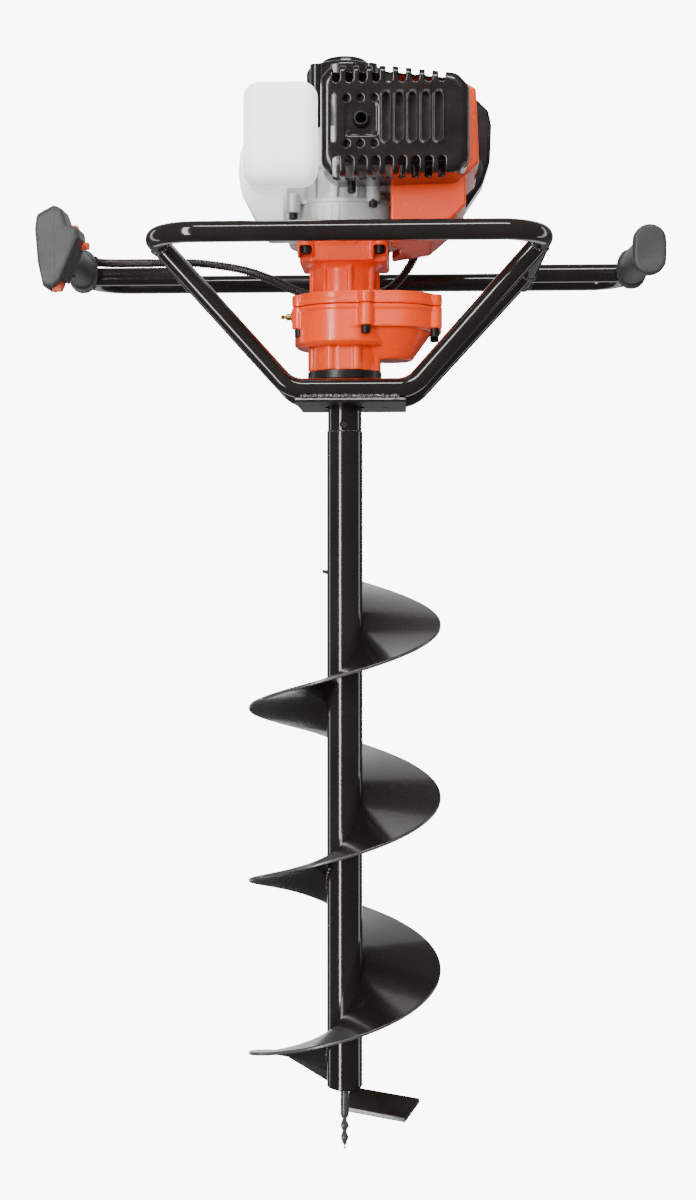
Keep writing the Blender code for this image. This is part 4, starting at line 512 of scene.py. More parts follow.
GLOSS_PLASTIC = Moulded(
    "gloss_plastic_finish", (0.008, 0.007, 0.0066), (0.013, 0.012, 0.011), 0.14, 500.0, 0.00001, 0.6
)
FOOT_PAINT = GlossPaint("gearbox_foot_finish", (0.010, 0.009, 0.008), (0.016, 0.014, 0.013), 0.34, 0.00006, 0.0)
PLATE_PAINT = HighlitPlate("plate_finish")
ROPE_BRAID = Moulded("rope_finish", (0.030, 0.029, 0.028), (0.050, 0.048, 0.046), 0.70, 2200.0, 0.0003)
MADE: dict[str, bpy.types.Material] = {}


def finish(kind: object) -> bpy.types.Material:
    """The material of a finish, made once.

    Args: kind, a Surface, or a finish of its own.
    Returns: the material.
    """
    recipe = FINISHES[kind] if isinstance(kind, Surface) else kind
    if recipe.name not in MADE:
        MADE[recipe.name] = recipe.make()
    return MADE[recipe.name]


def linked(mesh: bpy.types.Mesh, name: str = "form") -> Node:
    """A new object of a mesh, in the scene."""
    item = bpy.data.objects.new(name, mesh)
    bpy.context.scene.collection.objects.link(item)
    return item


def form_of(shell: bmesh.types.BMesh) -> Node:
    """Turn mesh data into an object whose faces point outwards."""
    bmesh.ops.recalc_face_normals(shell, faces=shell.faces)
    mesh = bpy.data.meshes.new("form")
    shell.to_mesh(mesh)
    shell.free()
    return linked(mesh)


def settled(item: Node) -> Node:
    """Apply an object's modifiers to its mesh.

    Args: item, the object.
    Returns: the same object with a plain mesh.
    """
    graph = bpy.context.evaluated_depsgraph_get()
    result = bpy.data.meshes.new_from_object(item.evaluated_get(graph))
    item.modifiers.clear()
    item.data = result
    return item


def combined(target: Node, tools: tuple[Node, ...], operation: str) -> Node:
    """Join shapes to a shape, or cut them from it.

    Args: target, the shape that is kept. tools, the shapes used up. operation, the Boolean's word.
    Returns: the target.
    """
    for tool in tools:
        modifier = target.modifiers.new("combine", "BOOLEAN")
        modifier.operation = operation
        modifier.solver = "EXACT"
        modifier.object = tool
        settled(target)
        bpy.data.objects.remove(tool, do_unlink=True)
    return target


def cut(target: Node, *tools: Node) -> Node:
    """Cut the tools from the target."""
    return combined(target, tools, "DIFFERENCE")


def join(target: Node, *tools: Node) -> Node:
    """Join the tools to the target."""
    return combined(target, tools, "UNION")


def eased(item: Node, width: float, segments: int = 2, degrees: float = 32.0) -> Node:
    """Round a shape's sharp edges.

    Args: item, the shape. width, the rounding in metres. segments, its steps. degrees, the least fold.
    Returns: the same object.
    """
    modifier = item.modifiers.new("ease", "BEVEL")
    modifier.width = width
    modifier.segments = segments
    modifier.limit_method = "ANGLE"
    modifier.angle_limit = math.radians(degrees)
    modifier.use_clamp_overlap = True
    return settled(item)


def cast(item: Node, voxel: float, rounds: int = 6) -> Node:
    """Melt a shape's corners and creases as a casting's are, by rebuilding its skin and smoothing it.

    Args: item, the shape. voxel, the grid's step. rounds, how often it is smoothed.
    Returns: the same object.
    """
    remesh = item.modifiers.new("skin", "REMESH")
    remesh.mode = "VOXEL"
    remesh.voxel_size = voxel
    smooth = item.modifiers.new("soften", "SMOOTH")
    smooth.factor = 0.5
    smooth.iterations = rounds
    return settled(item)


def merged(*items: Node) -> Node:
    """Put several shapes in one mesh without joining their skins.

    Args: items, the shapes.
    Returns: the first, holding them all.
    """
    shell = bmesh.new()
    for item in items:
        shell.from_mesh(item.data)
    shell.to_mesh(items[0].data)
    shell.free()
    for item in items[1:]:
        bpy.data.objects.remove(item, do_unlink=True)
    return items[0]


def turns(count: int) -> list[float]:
    """The angles of points spread evenly round a circle."""
    return [2 * math.pi * n / count for n in range(count)]


def quarter(steps: int) -> list[float]:
    """The angles from zero to a quarter turn, with both ends."""
    return [math.pi / 2 * n / steps for n in range(steps + 1)]


def polar(radius: float, angle: float, centre: Point = (0.0, 0.0)) -> Point:
    """The point at a radius and an angle from a centre."""
    return (centre[0] + radius * math.cos(angle), centre[1] + radius * math.sin(angle))


def rectangle(low: Point, high: Point) -> list[Point]:
    """The corners of a rectangle, anticlockwise from its lowest."""
    return [low, (high[0], low[1]), high, (low[0], high[1])]


def swung(item: Node, degrees: float) -> Node:
    """Turn a shape about the Z axis."""
    item.data.transform(Matrix.Rotation(math.radians(degrees), 4, "Z"))
    return item


def spline(p: object, q: object, r: object, s: object, t: float) -> object:
    """The value at a share of the way from the second of four knots to the third (Catmull-Rom)."""
    return 0.5 * ((2 * q) + (r - p) * t + (2 * p - 5 * q + 4 * r - s) * t**2 + (3 * q - p - 3 * r + s) * t**3)


def fillet(before: tuple, here: tuple, after: tuple, radius: float) -> tuple[Vector, Vector, Vector]:
    """The arc that rounds a corner.

    Args: before, here, after, the corner and its neighbours. radius, the arc's.
    Returns: the arc's centre, and the arms from there to its two ends.
    """
    here = Vector(here)
    back = (Vector(before) - here).normalized()
    ahead = (Vector(after) - here).normalized()
    half = back.angle(ahead) / 2
    reach = radius / math.tan(half)
    middle = here + (back + ahead).normalized() * radius / math.sin(half)
    return middle, here + back * reach - middle, here + ahead * reach - middle


def along(axis: str, across: float, up: float, level: float) -> Vector:
    """A point from its two cross-section coordinates and its place along an axis."""
    if axis == "X":
        return Vector((level, across, up))
    if axis == "Y":
        return Vector((across, level, up))
    return Vector((across, up, level))


def loft(rings: list[list[Vector]]) -> Node:
    """Skin rings of points that correspond, and cap both ends."""
    shell = bmesh.new()
    loops = [[shell.verts.new(point) for point in ring] for ring in rings]
    count = len(loops[0])
    for low, high in zip(loops, loops[1:]):
        for i in range(count):
            j = (i + 1) % count
            shell.faces.new((low[i], low[j], high[j], high[i]))
    shell.faces.new(loops[0])
    shell.faces.new(loops[-1])
    return form_of(shell)


def prism(outline: list[Point], low: float, high: float, axis: str = "Z") -> Node:
    """A straight block with an outline, between two levels of an axis."""
    return loft([[along(axis, u, v, level) for u, v in outline] for level in (low, high)])


def turned(profile: list[Point], centre: Point = (0.0, 0.0), axis: str = "Z", steps: int = 64) -> Node:
    """Turn a profile about an axis.

    Args: profile, (radius, level) points; one that starts and ends on the axis makes a solid, and one
        clear of it a ring. centre, the axis's place. axis, its direction. steps, the facets.
    Returns: the turned shape.
    """
    shell = bmesh.new()
    rings = []
    for radius, level in profile:
        spokes = turns(steps)[:1 if radius == 0 else steps]
        rings.append([shell.verts.new(along(axis, *polar(radius, a, centre), level)) for a in spokes])
    following = rings[1:] if len(rings[0]) == 1 else rings[1:] + rings[:1]
    for ring_now, ring_next in zip(rings, following):
        for i in range(steps):
            j = (i + 1) % steps
            corners = [
                ring_now[i % len(ring_now)], ring_now[j % len(ring_now)],
                ring_next[j % len(ring_next)], ring_next[i % len(ring_next)],
            ]
            corners = [c for n, c in enumerate(corners) if c not in corners[:n]]
            if len(corners) > 2:
                shell.faces.new(corners)
    return form_of(shell)


def disc(
    radius: float, low: float, high: float, centre: Point = (0.0, 0.0), axis: str = "Z", steps: int = 48
) -> Node:
    """A round bar between two levels of an axis."""
    return turned([(0, low), (radius, low), (radius, high), (0, high)], centre, axis, steps)


def box(low: tuple, high: tuple, radius: float = 0.0, steps: int = 4) -> Node:
    """A box between two corners, its edges rounded to a radius."""
    shell = bmesh.new()
    centre = (Vector(low) + Vector(high)) / 2
    size = Vector(high) - Vector(low)
    bmesh.ops.create_cube(shell, size=1.0, matrix=Matrix.Translation(centre) @ Matrix.Diagonal((*size, 1)))
    if radius > 0:
        bmesh.ops.bevel(
            shell, geom=list(shell.edges), offset=radius, segments=steps, profile=0.5, affect="EDGES"
        )
    return form_of(shell)


def rounded(corners: list[Point], radius: object, steps: int = 6) -> list[Point]:
    """A polygon with each corner filleted.

    Args: corners, its points. radius, one value, or one for each corner. steps, facets of a fillet.
    Returns: the outline's points.
    """
    radii = radius if isinstance(radius, (list, tuple)) else [radius] * len(corners)
    outline = []
    for i, corner in enumerate(corners):
        if radii[i] == 0:
            outline.append(tuple(Vector(corner)))
            continue
        middle, start, end = fillet(corners[i - 1], corner, corners[(i + 1) % len(corners)], radii[i])
        turn = start.angle_signed(end)
        for n in range(steps + 1):
            outline.append(tuple(middle + Matrix.Rotation(-turn * n / steps, 2) @ start))
    return outline


def slot_outline(
    centre: Point, half_width: float, half_length: float, angle: float = 0.0, steps: int = 8
) -> list[Point]:
    """A slot with round ends whose length runs along the second coordinate, turned by an angle."""
    points = []
    for side in (1, -1):
        for n in range(steps + 1):
            turn = math.pi * n / steps
            u = half_width * math.cos(turn) * side
            v = side * (half_length - half_width + half_width * math.sin(turn))
            points.append(
                (
                    centre[0] + u * math.cos(angle) - v * math.sin(angle),
                    centre[1] + u * math.sin(angle) + v * math.cos(angle),
                )
            )
    return points


def belt(distance: float, left_r: float, right_r: float, steps: int = 96) -> list[Point]:
    """The outline round two circles on the X axis, one at zero and one at a distance."""
    lean = math.acos((left_r - right_r) / distance)
    half = steps // 2
    points = [polar(right_r, -lean + 2 * lean * n / half, (distance, 0.0)) for n in range(half + 1)]
    points += [polar(left_r, lean + (2 * math.pi - 2 * lean) * n / half) for n in range(half + 1)]
    return points


def bent_path(corners: list[tuple], bend_radius: float, steps: int = 14) -> list[Vector]:
    """The centre line of a bent tube: straight runs with an arc at each inner corner."""
    path = [Vector(corners[0])]
    for before, here, after in zip(corners, corners[1:], corners[2:]):
        middle, start, end = fillet(before, here, after, bend_radius)
        start, end = start.normalized(), end.normalized()
        path += [middle + bend_radius * start.slerp(end, n / steps) for n in range(steps + 1)]
    path.append(Vector(corners[-1]))
    return path


def swept(path: list[Vector], radius: float, sides: int = 40) -> Node:
    """A round tube along a path, with its rings kept from twisting."""
    tangent = (path[1] - path[0]).normalized()
    side = tangent.orthogonal().normalized()
    rings = []
    for i, point in enumerate(path):
        tangent = (path[min(i + 1, len(path) - 1)] - path[max(i - 1, 0)]).normalized()
        side = (side - tangent * side.dot(tangent)).normalized()
        up = tangent.cross(side)
        rings.append([point + radius * (math.cos(a) * side + math.sin(a) * up) for a in turns(sides)])
    return loft(rings)


def smooth_path(points: tuple, pieces: int = 10) -> list[Vector]:
    """A smooth curve through the points (Catmull-Rom)."""
    points = [Vector(point) for point in points]
    ends = [2 * points[0] - points[1]] + points + [2 * points[-1] - points[-2]]
    path = []
    for a, b, c, d in zip(ends, ends[1:], ends[2:], ends[3:]):
        path += [spline(a, b, c, d, n / pieces) for n in range(pieces)]
    path.append(points[-1])
    return path


def smoothed(node: str) -> Node:
    """A copy of a CAD node with its loose triangles merged.

    Args: node, its name.
    Returns: the copy.
    """
    shell = bmesh.new()
    shell.from_mesh(frame["nodes"][node].data)
    bmesh.ops.remove_doubles(shell, verts=shell.verts, dist=0.00001)
    bmesh.ops.dissolve_limit(shell, angle_limit=math.radians(0.5), verts=shell.verts, edges=shell.edges)
    mesh = bpy.data.meshes.new("form")
    shell.to_mesh(mesh)
    shell.free()
    return linked(mesh)


BODY_OF = {node: body for body, nodes in frame["record"]["behaviour"]["bodies"].items() for node in nodes}
SLOT_OF = {row["node"]: Surface(row["material_slot"]) for row in frame["record"]["subparts"]}
SHOWN: set[str] = set()


def dress(
    item: Node, name: str, body: str, kind: Surface, *nodes: str, look: object = None, degrees: float = 34.0,
    across: tuple[str, Spot, Spot] | None = None,
) -> Node:
    """Finish a piece: its name, material, shading, the body that it rides on and what it stands for.

    Args: item, the shape. name, the piece's name. body, the body that it moves with. kind, its surface in the
    record. nodes, the CAD nodes that it replaces. look, a finish of its own. degrees, the fold above which
    an edge stays sharp. across, for a piece that spans a joint: the second body, and the points where it
    leaves the first and meets the second; such a piece is left where it is, on no body, and the second
    body and the points are not used.
    Returns: the piece.
    """
    item.name = name
    item.data.name = name
    item.data.materials.clear()
    item.data.materials.append(finish(look or kind))
    item.data.shade_smooth()
    item.data.set_sharp_from_angle(angle=math.radians(degrees))
    level = item.modifiers.new("level", "WEIGHTED_NORMAL")
    level.mode = "FACE_AREA"
    level.keep_sharp = True
    settled(item)
    if across:
        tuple(across[1])
        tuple(across[2])
        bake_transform(item)
    else:
        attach(item, body)
    if nodes:
        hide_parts(*nodes)
        SHOWN.update(nodes)
    LOG.info("%s: %d faces on %s", name, len(item.data.polygons), body)
    return item


def stand_in(item: Node, node: str, look: object = None, degrees: float = 34.0) -> Node:
    """Finish a piece that stands for one CAD node, on that node's body and with its surface."""
    return dress(item, node + "_skin", BODY_OF[node], SLOT_OF[node], node, look=look, degrees=degrees)


class Repeat(Graph):
    """A Geometry Nodes tree with named inputs, run once to make a plain mesh."""

    def __init__(self, name: str, **inputs: str) -> None:
        """Args: name, the tree's name. inputs, the socket type of each named input."""
        super().__init__(bpy.data.node_groups.new(name, "GeometryNodeTree"))
        interface = self.tree.interface
        interface.new_socket("Geometry", in_out="INPUT", socket_type="NodeSocketGeometry")
        interface.new_socket("Geometry", in_out="OUTPUT", socket_type="NodeSocketGeometry")
        inputs["Finish"] = "Material"
        self.sockets = {
            key: interface.new_socket(key, in_out="INPUT", socket_type="NodeSocket" + kind).identifier
            for key, kind in inputs.items()
        }
        self.inlet = self.tree.nodes.new("NodeGroupInput")
        self.outlet = self.tree.nodes.new("NodeGroupOutput")

    def given(self, key: str) -> Wire:
        """The output that carries a named input."""
        return Wire(self, self.inlet.outputs[key])

    def line(self) -> Wire:
        """The carrier's edges as a curve."""
        return self.node("GeometryNodeMeshToCurve", None, {"Mesh": self.given("Geometry")})

    def shape_of(self, key: str) -> Wire:
        """The geometry of the object that a named input carries."""
        return self.node("GeometryNodeObjectInfo", None, {"Object": self.given(key)}, "Geometry")

    def copies(self, points: Wire, shape: Wire, **settings: Wire) -> Wire:
        """Copies of a shape at points, with the node's further sockets by name."""
        sockets = {"Points": points, "Instance": shape, **settings}
        return self.node("GeometryNodeInstanceOnPoints", None, sockets)

    def close(self, geometry: Wire) -> "Repeat":
        """End the tree with its copies made real and its material set."""
        real = self.node("GeometryNodeRealizeInstances", None, {"Geometry": geometry})
        faced = self.node(
            "GeometryNodeSetMaterial", None, {"Geometry": real, "Material": self.given("Finish")}
        )
        self.tree.links.new(faced.socket, self.outlet.inputs[0])
        return self

    def run(self, carrier: Node, **values: object) -> Node:
        """Run the tree on a carrier's points.

        Args: carrier, the object whose mesh goes in. values, the named inputs.
        Returns: the same object with the made mesh.
        """
        modifier = carrier.modifiers.new("repeat", "NODES")
        modifier.node_group = self.tree
        for key, value in values.items():
            modifier[self.sockets[key]] = value
        return settled(carrier)


def carrier_of(points: list[Vector], strung: bool = False) -> Node:
    """An object of bare points, or of a line strung through them."""
    mesh = bpy.data.meshes.new("carrier")
    lines = [(i, i + 1) for i in range(len(points) - 1)] if strung else []
    mesh.from_pydata([tuple(point) for point in points], lines, [])
    return linked(mesh)


def scatter_tree() -> Repeat:
    """Copies of one object at bare points, all turned alike."""
    kit = Repeat("copies_at_points", Head="Object", Turn="Vector")
    turn = kit.node("FunctionNodeEulerToRotation", None, {0: kit.given("Turn")})
    return kit.close(kit.copies(kit.given("Geometry"), kit.shape_of("Head"), Rotation=turn))


def bead_tree() -> Repeat:
    """Blobs of weld metal, uneven in size, laid close along a line."""
    kit = Repeat("weld_bead", Step="Float", Size="Float", Seed="Int")
    even = kit.node(
        "GeometryNodeResampleCurve", {"mode": "LENGTH"}, {"Curve": kit.line(), "Length": kit.given("Step")}
    )
    blob = kit.node("GeometryNodeMeshIcoSphere", None, {"Radius": kit.given("Size"), "Subdivisions": 2})
    spread = {2: 0.72, 3: 1.22, 8: kit.given("Seed")}
    uneven = kit.node("FunctionNodeRandomValue", {"data_type": "FLOAT"}, spread, 1)
    return kit.close(kit.copies(even, blob, Scale=uneven))


def rib_tree() -> Repeat:
    """Rings threaded on a line at an even step, square to it."""
    kit = Repeat("rings_on_a_line", Step="Float", Rib="Object")
    spots = kit.node(
        "GeometryNodeCurveToPoints", {"mode": "LENGTH"}, {"Curve": kit.line(), "Length": kit.given("Step")}
    )
    square = Wire(kit, spots.socket.node.outputs["Rotation"])
    return kit.close(kit.copies(spots, kit.shape_of("Rib"), Rotation=square))


def screw_tree() -> Repeat:
    """A flat bar with rounded edges, wound round the Z axis into a screw flight."""
    kit = Repeat(
        "screw_flight", Inner="Float", Outer="Float", Thickness="Float", Edge="Float", Pitch="Float",
        Level="Float", First="Float", Last="Float", Steps="Int",
    )
    inner, outer = kit.given("Inner"), kit.given("Outer")
    ends = [kit.node("ShaderNodeCombineXYZ", None, {"X": kit.given(key)}) for key in ("First", "Last")]
    line = kit.node("GeometryNodeCurvePrimitiveLine", None, {"Start": ends[0], "End": ends[1]})
    fine = kit.node("GeometryNodeResampleCurve", None, {"Curve": line, "Count": kit.given("Steps")})
    level = kit.node("GeometryNodeSetCurveNormal", {"mode": "Z_UP"}, {"Curve": fine})
    sides = {"Width": outer - inner, "Height": kit.given("Thickness")}
    section = kit.node("GeometryNodeCurvePrimitiveQuadrilateral", None, sides)
    soft = kit.node(
        "GeometryNodeFilletCurve", {"mode": "POLY"}, {"Curve": section, "Radius": kit.given("Edge"), "Count": 3}
    )
    bar = kit.node(
        "GeometryNodeCurveToMesh", None, {"Curve": level, "Profile Curve": soft, "Fill Caps": True}
    )
    turn, across, lift = kit.parts_of(kit.node("GeometryNodeInputPosition"))
    radius = (inner + outer) * 0.5 + across
    drop = kit.given("Pitch") * turn * (0.5 / math.pi)
    wound = kit.node(
        "ShaderNodeCombineXYZ",
        None,
        {"X": radius * turn.cosine(), "Y": radius * turn.sine() * -1.0, "Z": kit.given("Level") - drop + lift},
    )
    return kit.close(kit.node("GeometryNodeSetPosition", None, {"Geometry": bar, "Position": wound}))


def hex_head(radius: float, height: float) -> Node:
    """A cap screw's head with its hexagon socket, its seat at zero and its top up the Z axis."""
    soft = radius * 0.16
    head = turned(
        [(0, -0.002), (radius * 0.5, -0.002), (radius * 0.5, 0), (radius, 0), (radius, height - soft),
         (radius - soft * 0.3, height - soft * 0.3), (radius - soft, height), (0, height)],
        steps=28,
    )
    flats = [polar(radius * 0.56, math.pi * n / 3) for n in range(6)]
    return cut(head, prism(flats, height * 0.35, height * 2))


class Fasteners:
    """Puts screw heads where the pieces are bolted."""

    def __init__(self) -> None:
        """Make the one tree that places them all."""
        self.tree = scatter_tree()
        self.finish = Machined(
            "black_oxide_screws", (0.022, 0.021, 0.020), (0.05, 0.048, 0.045), 0.30, (1, 1, 1), 0.7
        )

    def place(self, name: str, head: Node, spots: list[tuple], turn: tuple = (0, 0, 0)) -> Node:
        """Put copies of a head at several spots of the fixed machine.

        Args: name, the piece's name. head, the shape, which is used up. spots, the seats' centres.
            turn, the angles in degrees that swing its Z axis to the screw's direction.
        Returns: the piece.
        """
        carrier = self.tree.run(
            carrier_of([Vector(spot) for spot in spots]),
            Head=head, Turn=tuple(math.radians(angle) for angle in turn), Finish=finish(self.finish),
        )
        bpy.data.objects.remove(head, do_unlink=True)
        return dress(carrier, name, "frame", Surface.STEEL, look=self.finish, degrees=30)


def seam(
    start: Vector, way: Vector, radius: float, axis_point: Vector, axis_way: Vector, steps: int = 40
) -> list[Vector]:
    """The line where a tube first meets another tube of the same radius.

    Args: start, way, a point and direction of the first tube's axis. radius, both tubes'. axis_point,
        axis_way, the other's axis. steps, the points round the line.
    Returns: the closed line's points.
    """
    way, axis_way = way.normalized(), axis_way.normalized()
    side = way.orthogonal().normalized()
    up = way.cross(side)
    points = []
    for n in range(steps + 1):
        turn = 2 * math.pi * n / steps
        here = start + radius * (math.cos(turn) * side + math.sin(turn) * up)
        offset = (here - axis_point) - axis_way * (here - axis_point).dot(axis_way)
        run = way - axis_way * way.dot(axis_way)
        a, b, c = run.dot(run), 2 * offset.dot(run), offset.dot(offset) - radius**2
        root = math.sqrt(max(b * b - 4 * a * c, 0.0))
        points.append(here + way * ((-b - root) / (2 * a)))
    return points


class Welder:
    """Lays weld beads along seams."""

    def __init__(self) -> None:
        """Make the one tree that lays them all."""
        self.tree = bead_tree()
        self.finish = WeldMetal("painted_weld_metal")
        self.seed = 3

    def lay(self, line: list[Vector], size: float = 0.0017) -> Node:
        """One bead.

        Args: line, the seam's points. size, the blobs' mean radius.
        Returns: the bead, without a name yet.
        """
        self.seed += 1
        return self.tree.run(
            carrier_of(line, True), Step=size * 0.62, Size=size, Seed=self.seed, Finish=finish(self.finish)
        )

    def dress(self, name: str, body: str, beads: list[Node]) -> Node:
        """Gather beads into one piece on a body."""
        return dress(merged(*beads), name, body, Surface.BLACK_PAINT, look=self.finish, degrees=50)


@dataclass
class ScrewBit:
    """The bit: socket, tube, screw flight, cutters and pilot point."""

    welder: Welder
    tube_r: float = 0.0185
    tube_wall: float = 0.0017
    tube_top_z: float = -0.1806
    tube_end_z: float = -0.861
    flight_r: float = 0.100
    pitch: float = 0.179
    thickness: float = 0.0035
    first_deg: float = -107.0
    last_deg: float = 949.0
    end_z: float = -0.8529
    socket_r: float = 0.0175
    socket_top_z: float = -0.129
    spigot_length: float = 0.034
    shaft_r: float = 0.010
    shaft_end_z: float = -0.185
    pin_r: float = 0.004
    pin_z: float = -0.1740
    pilot_r: float = 0.0044
    pilot_shank_z: float = -0.888
    pilot_tip_z: float = -0.927

    @property
    def zero_z(self) -> float:
        """The flight's level at the angle zero."""
        return self.end_z + self.pitch * self.last_deg / 360

    def on_flight(self, degrees: float, radius: float, lift: float = 0.0) -> Vector:
        """A point on the flight's middle surface.

        Args: degrees, the angle run since the first turn's zero. radius, from the axis. lift, above it.
        Returns: the point.
        """
        turn = math.radians(degrees)
        level = self.zero_z - self.pitch * degrees / 360 + lift
        return Vector((radius * math.cos(turn), -radius * math.sin(turn), level))

    def tube(self) -> None:
        """The tube, with a rounded lip at each end."""
        lip = 0.0005
        inner, outer = self.tube_r - self.tube_wall, self.tube_r
        low, high = self.tube_end_z, self.tube_top_z
        profile = [
            (inner, low + lip), (inner + lip, low), (outer - lip, low), (outer, low + lip),
            (outer, high - lip), (outer - lip, high), (inner + lip, high), (inner, high - lip),
        ]
        stand_in(turned(profile, steps=96), "auger_tube")

    def flight(self) -> None:
        """The screw flight, wound by Geometry Nodes."""
        wound = screw_tree().run(
            carrier_of([Vector((0, 0, 0))]),
            Inner=self.tube_r - 0.0008, Outer=self.flight_r, Thickness=self.thickness, Edge=0.0011,
            Pitch=self.pitch, Level=self.zero_z, First=math.radians(self.first_deg),
            Last=math.radians(self.last_deg), Steps=620, Finish=finish(SCREW_PAINT),
        )
        stand_in(wound, "auger_flight", look=SCREW_PAINT, degrees=50)

    def socket(self) -> None:
        """The socket over the gearbox's shaft, with the pin's hole, and the pin."""
        spigot = self.tube_r - self.tube_wall - GAP
        top, shoulder, bore, soft = self.socket_top_z, self.tube_top_z + GAP, self.shaft_r + GAP, 0.0009
        profile = [
            (0, shoulder - self.spigot_length), (spigot, shoulder - self.spigot_length), (spigot, shoulder),
            (self.socket_r - soft, shoulder), (self.socket_r, shoulder + soft),
            (self.socket_r, top - soft), (self.socket_r - soft, top),
            (bore + soft, top), (bore, top - soft), (bore, self.shaft_end_z - GAP), (0, self.shaft_end_z - GAP),
        ]
        spot = (0, self.pin_z)
        body = cut(turned(profile, steps=96), disc(self.pin_r + GAP, -0.05, 0.05, spot, "Y", 40))
        for near, far in ((-0.0165, -0.0182), (0.0165, 0.0182)):
            rim = [(self.pin_r, near), (self.pin_r + 0.0016, far), (self.pin_r, far)]
            cut(body, turned(rim, spot, "Y", 40))
        stand_in(body, "drive_socket")
        half, soft = self.socket_r - 0.0004, 0.0007
        pin = turned(
            [(0, -half), (self.pin_r - soft, -half), (self.pin_r, -half + soft), (self.pin_r, half - soft),
             (self.pin_r - soft, half), (0, half)],
            spot, "Y", 40,
        )
        stand_in(pin, "coupling_pin", look=CUTTER_PAINT)

    def cutters(self) -> None:
        """The strip under the flight's end and the sloping blade, with ground edges."""
        for node in ("flight_cutter", "cutting_blade"):
            stand_in(eased(smoothed(node), 0.0006, 2, 40), node, look=CUTTER_PAINT)

    def pilot(self) -> None:
        """The plug in the tube's end, a round shank and the flat twisted into a starting point."""
        plug, r = self.tube_r - self.tube_wall - GAP, self.pilot_r
        levels = [
            (self.tube_end_z + 0.008, plug, plug, 0), (self.tube_end_z + 0.0005, plug, plug, 0),
            (self.tube_end_z + 0.0004, r, r, 0), (self.pilot_shank_z, r, r, 0),
        ]
        steps, twist = 60, 2.7 * math.pi
        length = self.pilot_shank_z - self.pilot_tip_z - 0.006
        for n in range(steps):
            share = (n + 1) / steps
            level = self.pilot_shank_z - 0.003 - length * n / (steps - 1)
            width = r * (1.0 - 0.10 * share) * (1 if n < steps - 4 else (steps - n) / 5)
            flat = 1.0 - 0.50 * min(1.0, n / 6)
            levels.append((level, width, width * flat, twist * share))
        levels.append((self.pilot_tip_z, 0.0016, 0.0010, twist))
        rings = []
        for level, wide, thin, turn in levels:
            ring = [Vector((wide * math.cos(a), thin * math.sin(a))) for a in turns(24)]
            rings.append([(Matrix.Rotation(turn, 2) @ point).to_3d() + Vector((0, 0, level)) for point in ring])
        stand_in(loft(rings), "pilot_point", look=PILOT_PAINT)

    def welds(self) -> None:
        """The seams under the flight at the tube, and round the tube's two ends."""
        under, radius, steps = -self.thickness / 2 - 0.0006, self.tube_r + 0.0004, 40
        spans = (
            (self.first_deg + 4, self.first_deg + 40), (330, 400), (500, 560), (690, 760),
            (870, self.last_deg - 2),
        )
        beads = []
        for first, last in spans:
            angles = [first + (last - first) * n / steps for n in range(steps + 1)]
            beads.append(self.welder.lay([self.on_flight(angle, radius, under) for angle in angles], 0.0014))
        circle = turns(60) + [2 * math.pi]
        for radius, level, size in (
            (0.0166, self.tube_end_z + 0.0003, 0.0013), (0.0176, self.tube_top_z + 0.0002, 0.0007),
        ):
            beads.append(self.welder.lay([Vector((*polar(radius, a), level)) for a in circle], size))
        self.welder.dress("bit_welds", "auger", beads)

    def build(self) -> None:
        """Make the bit."""
        self.tube()
        self.flight()
        self.socket()
        self.cutters()
        self.pilot()
        self.welds()


def bolt_ears() -> list[Point]:
    """The centres of the three bolts that hold the gearbox's foot on the plate."""
    return [polar(EAR_CIRCLE, a) for a in turns(3)]


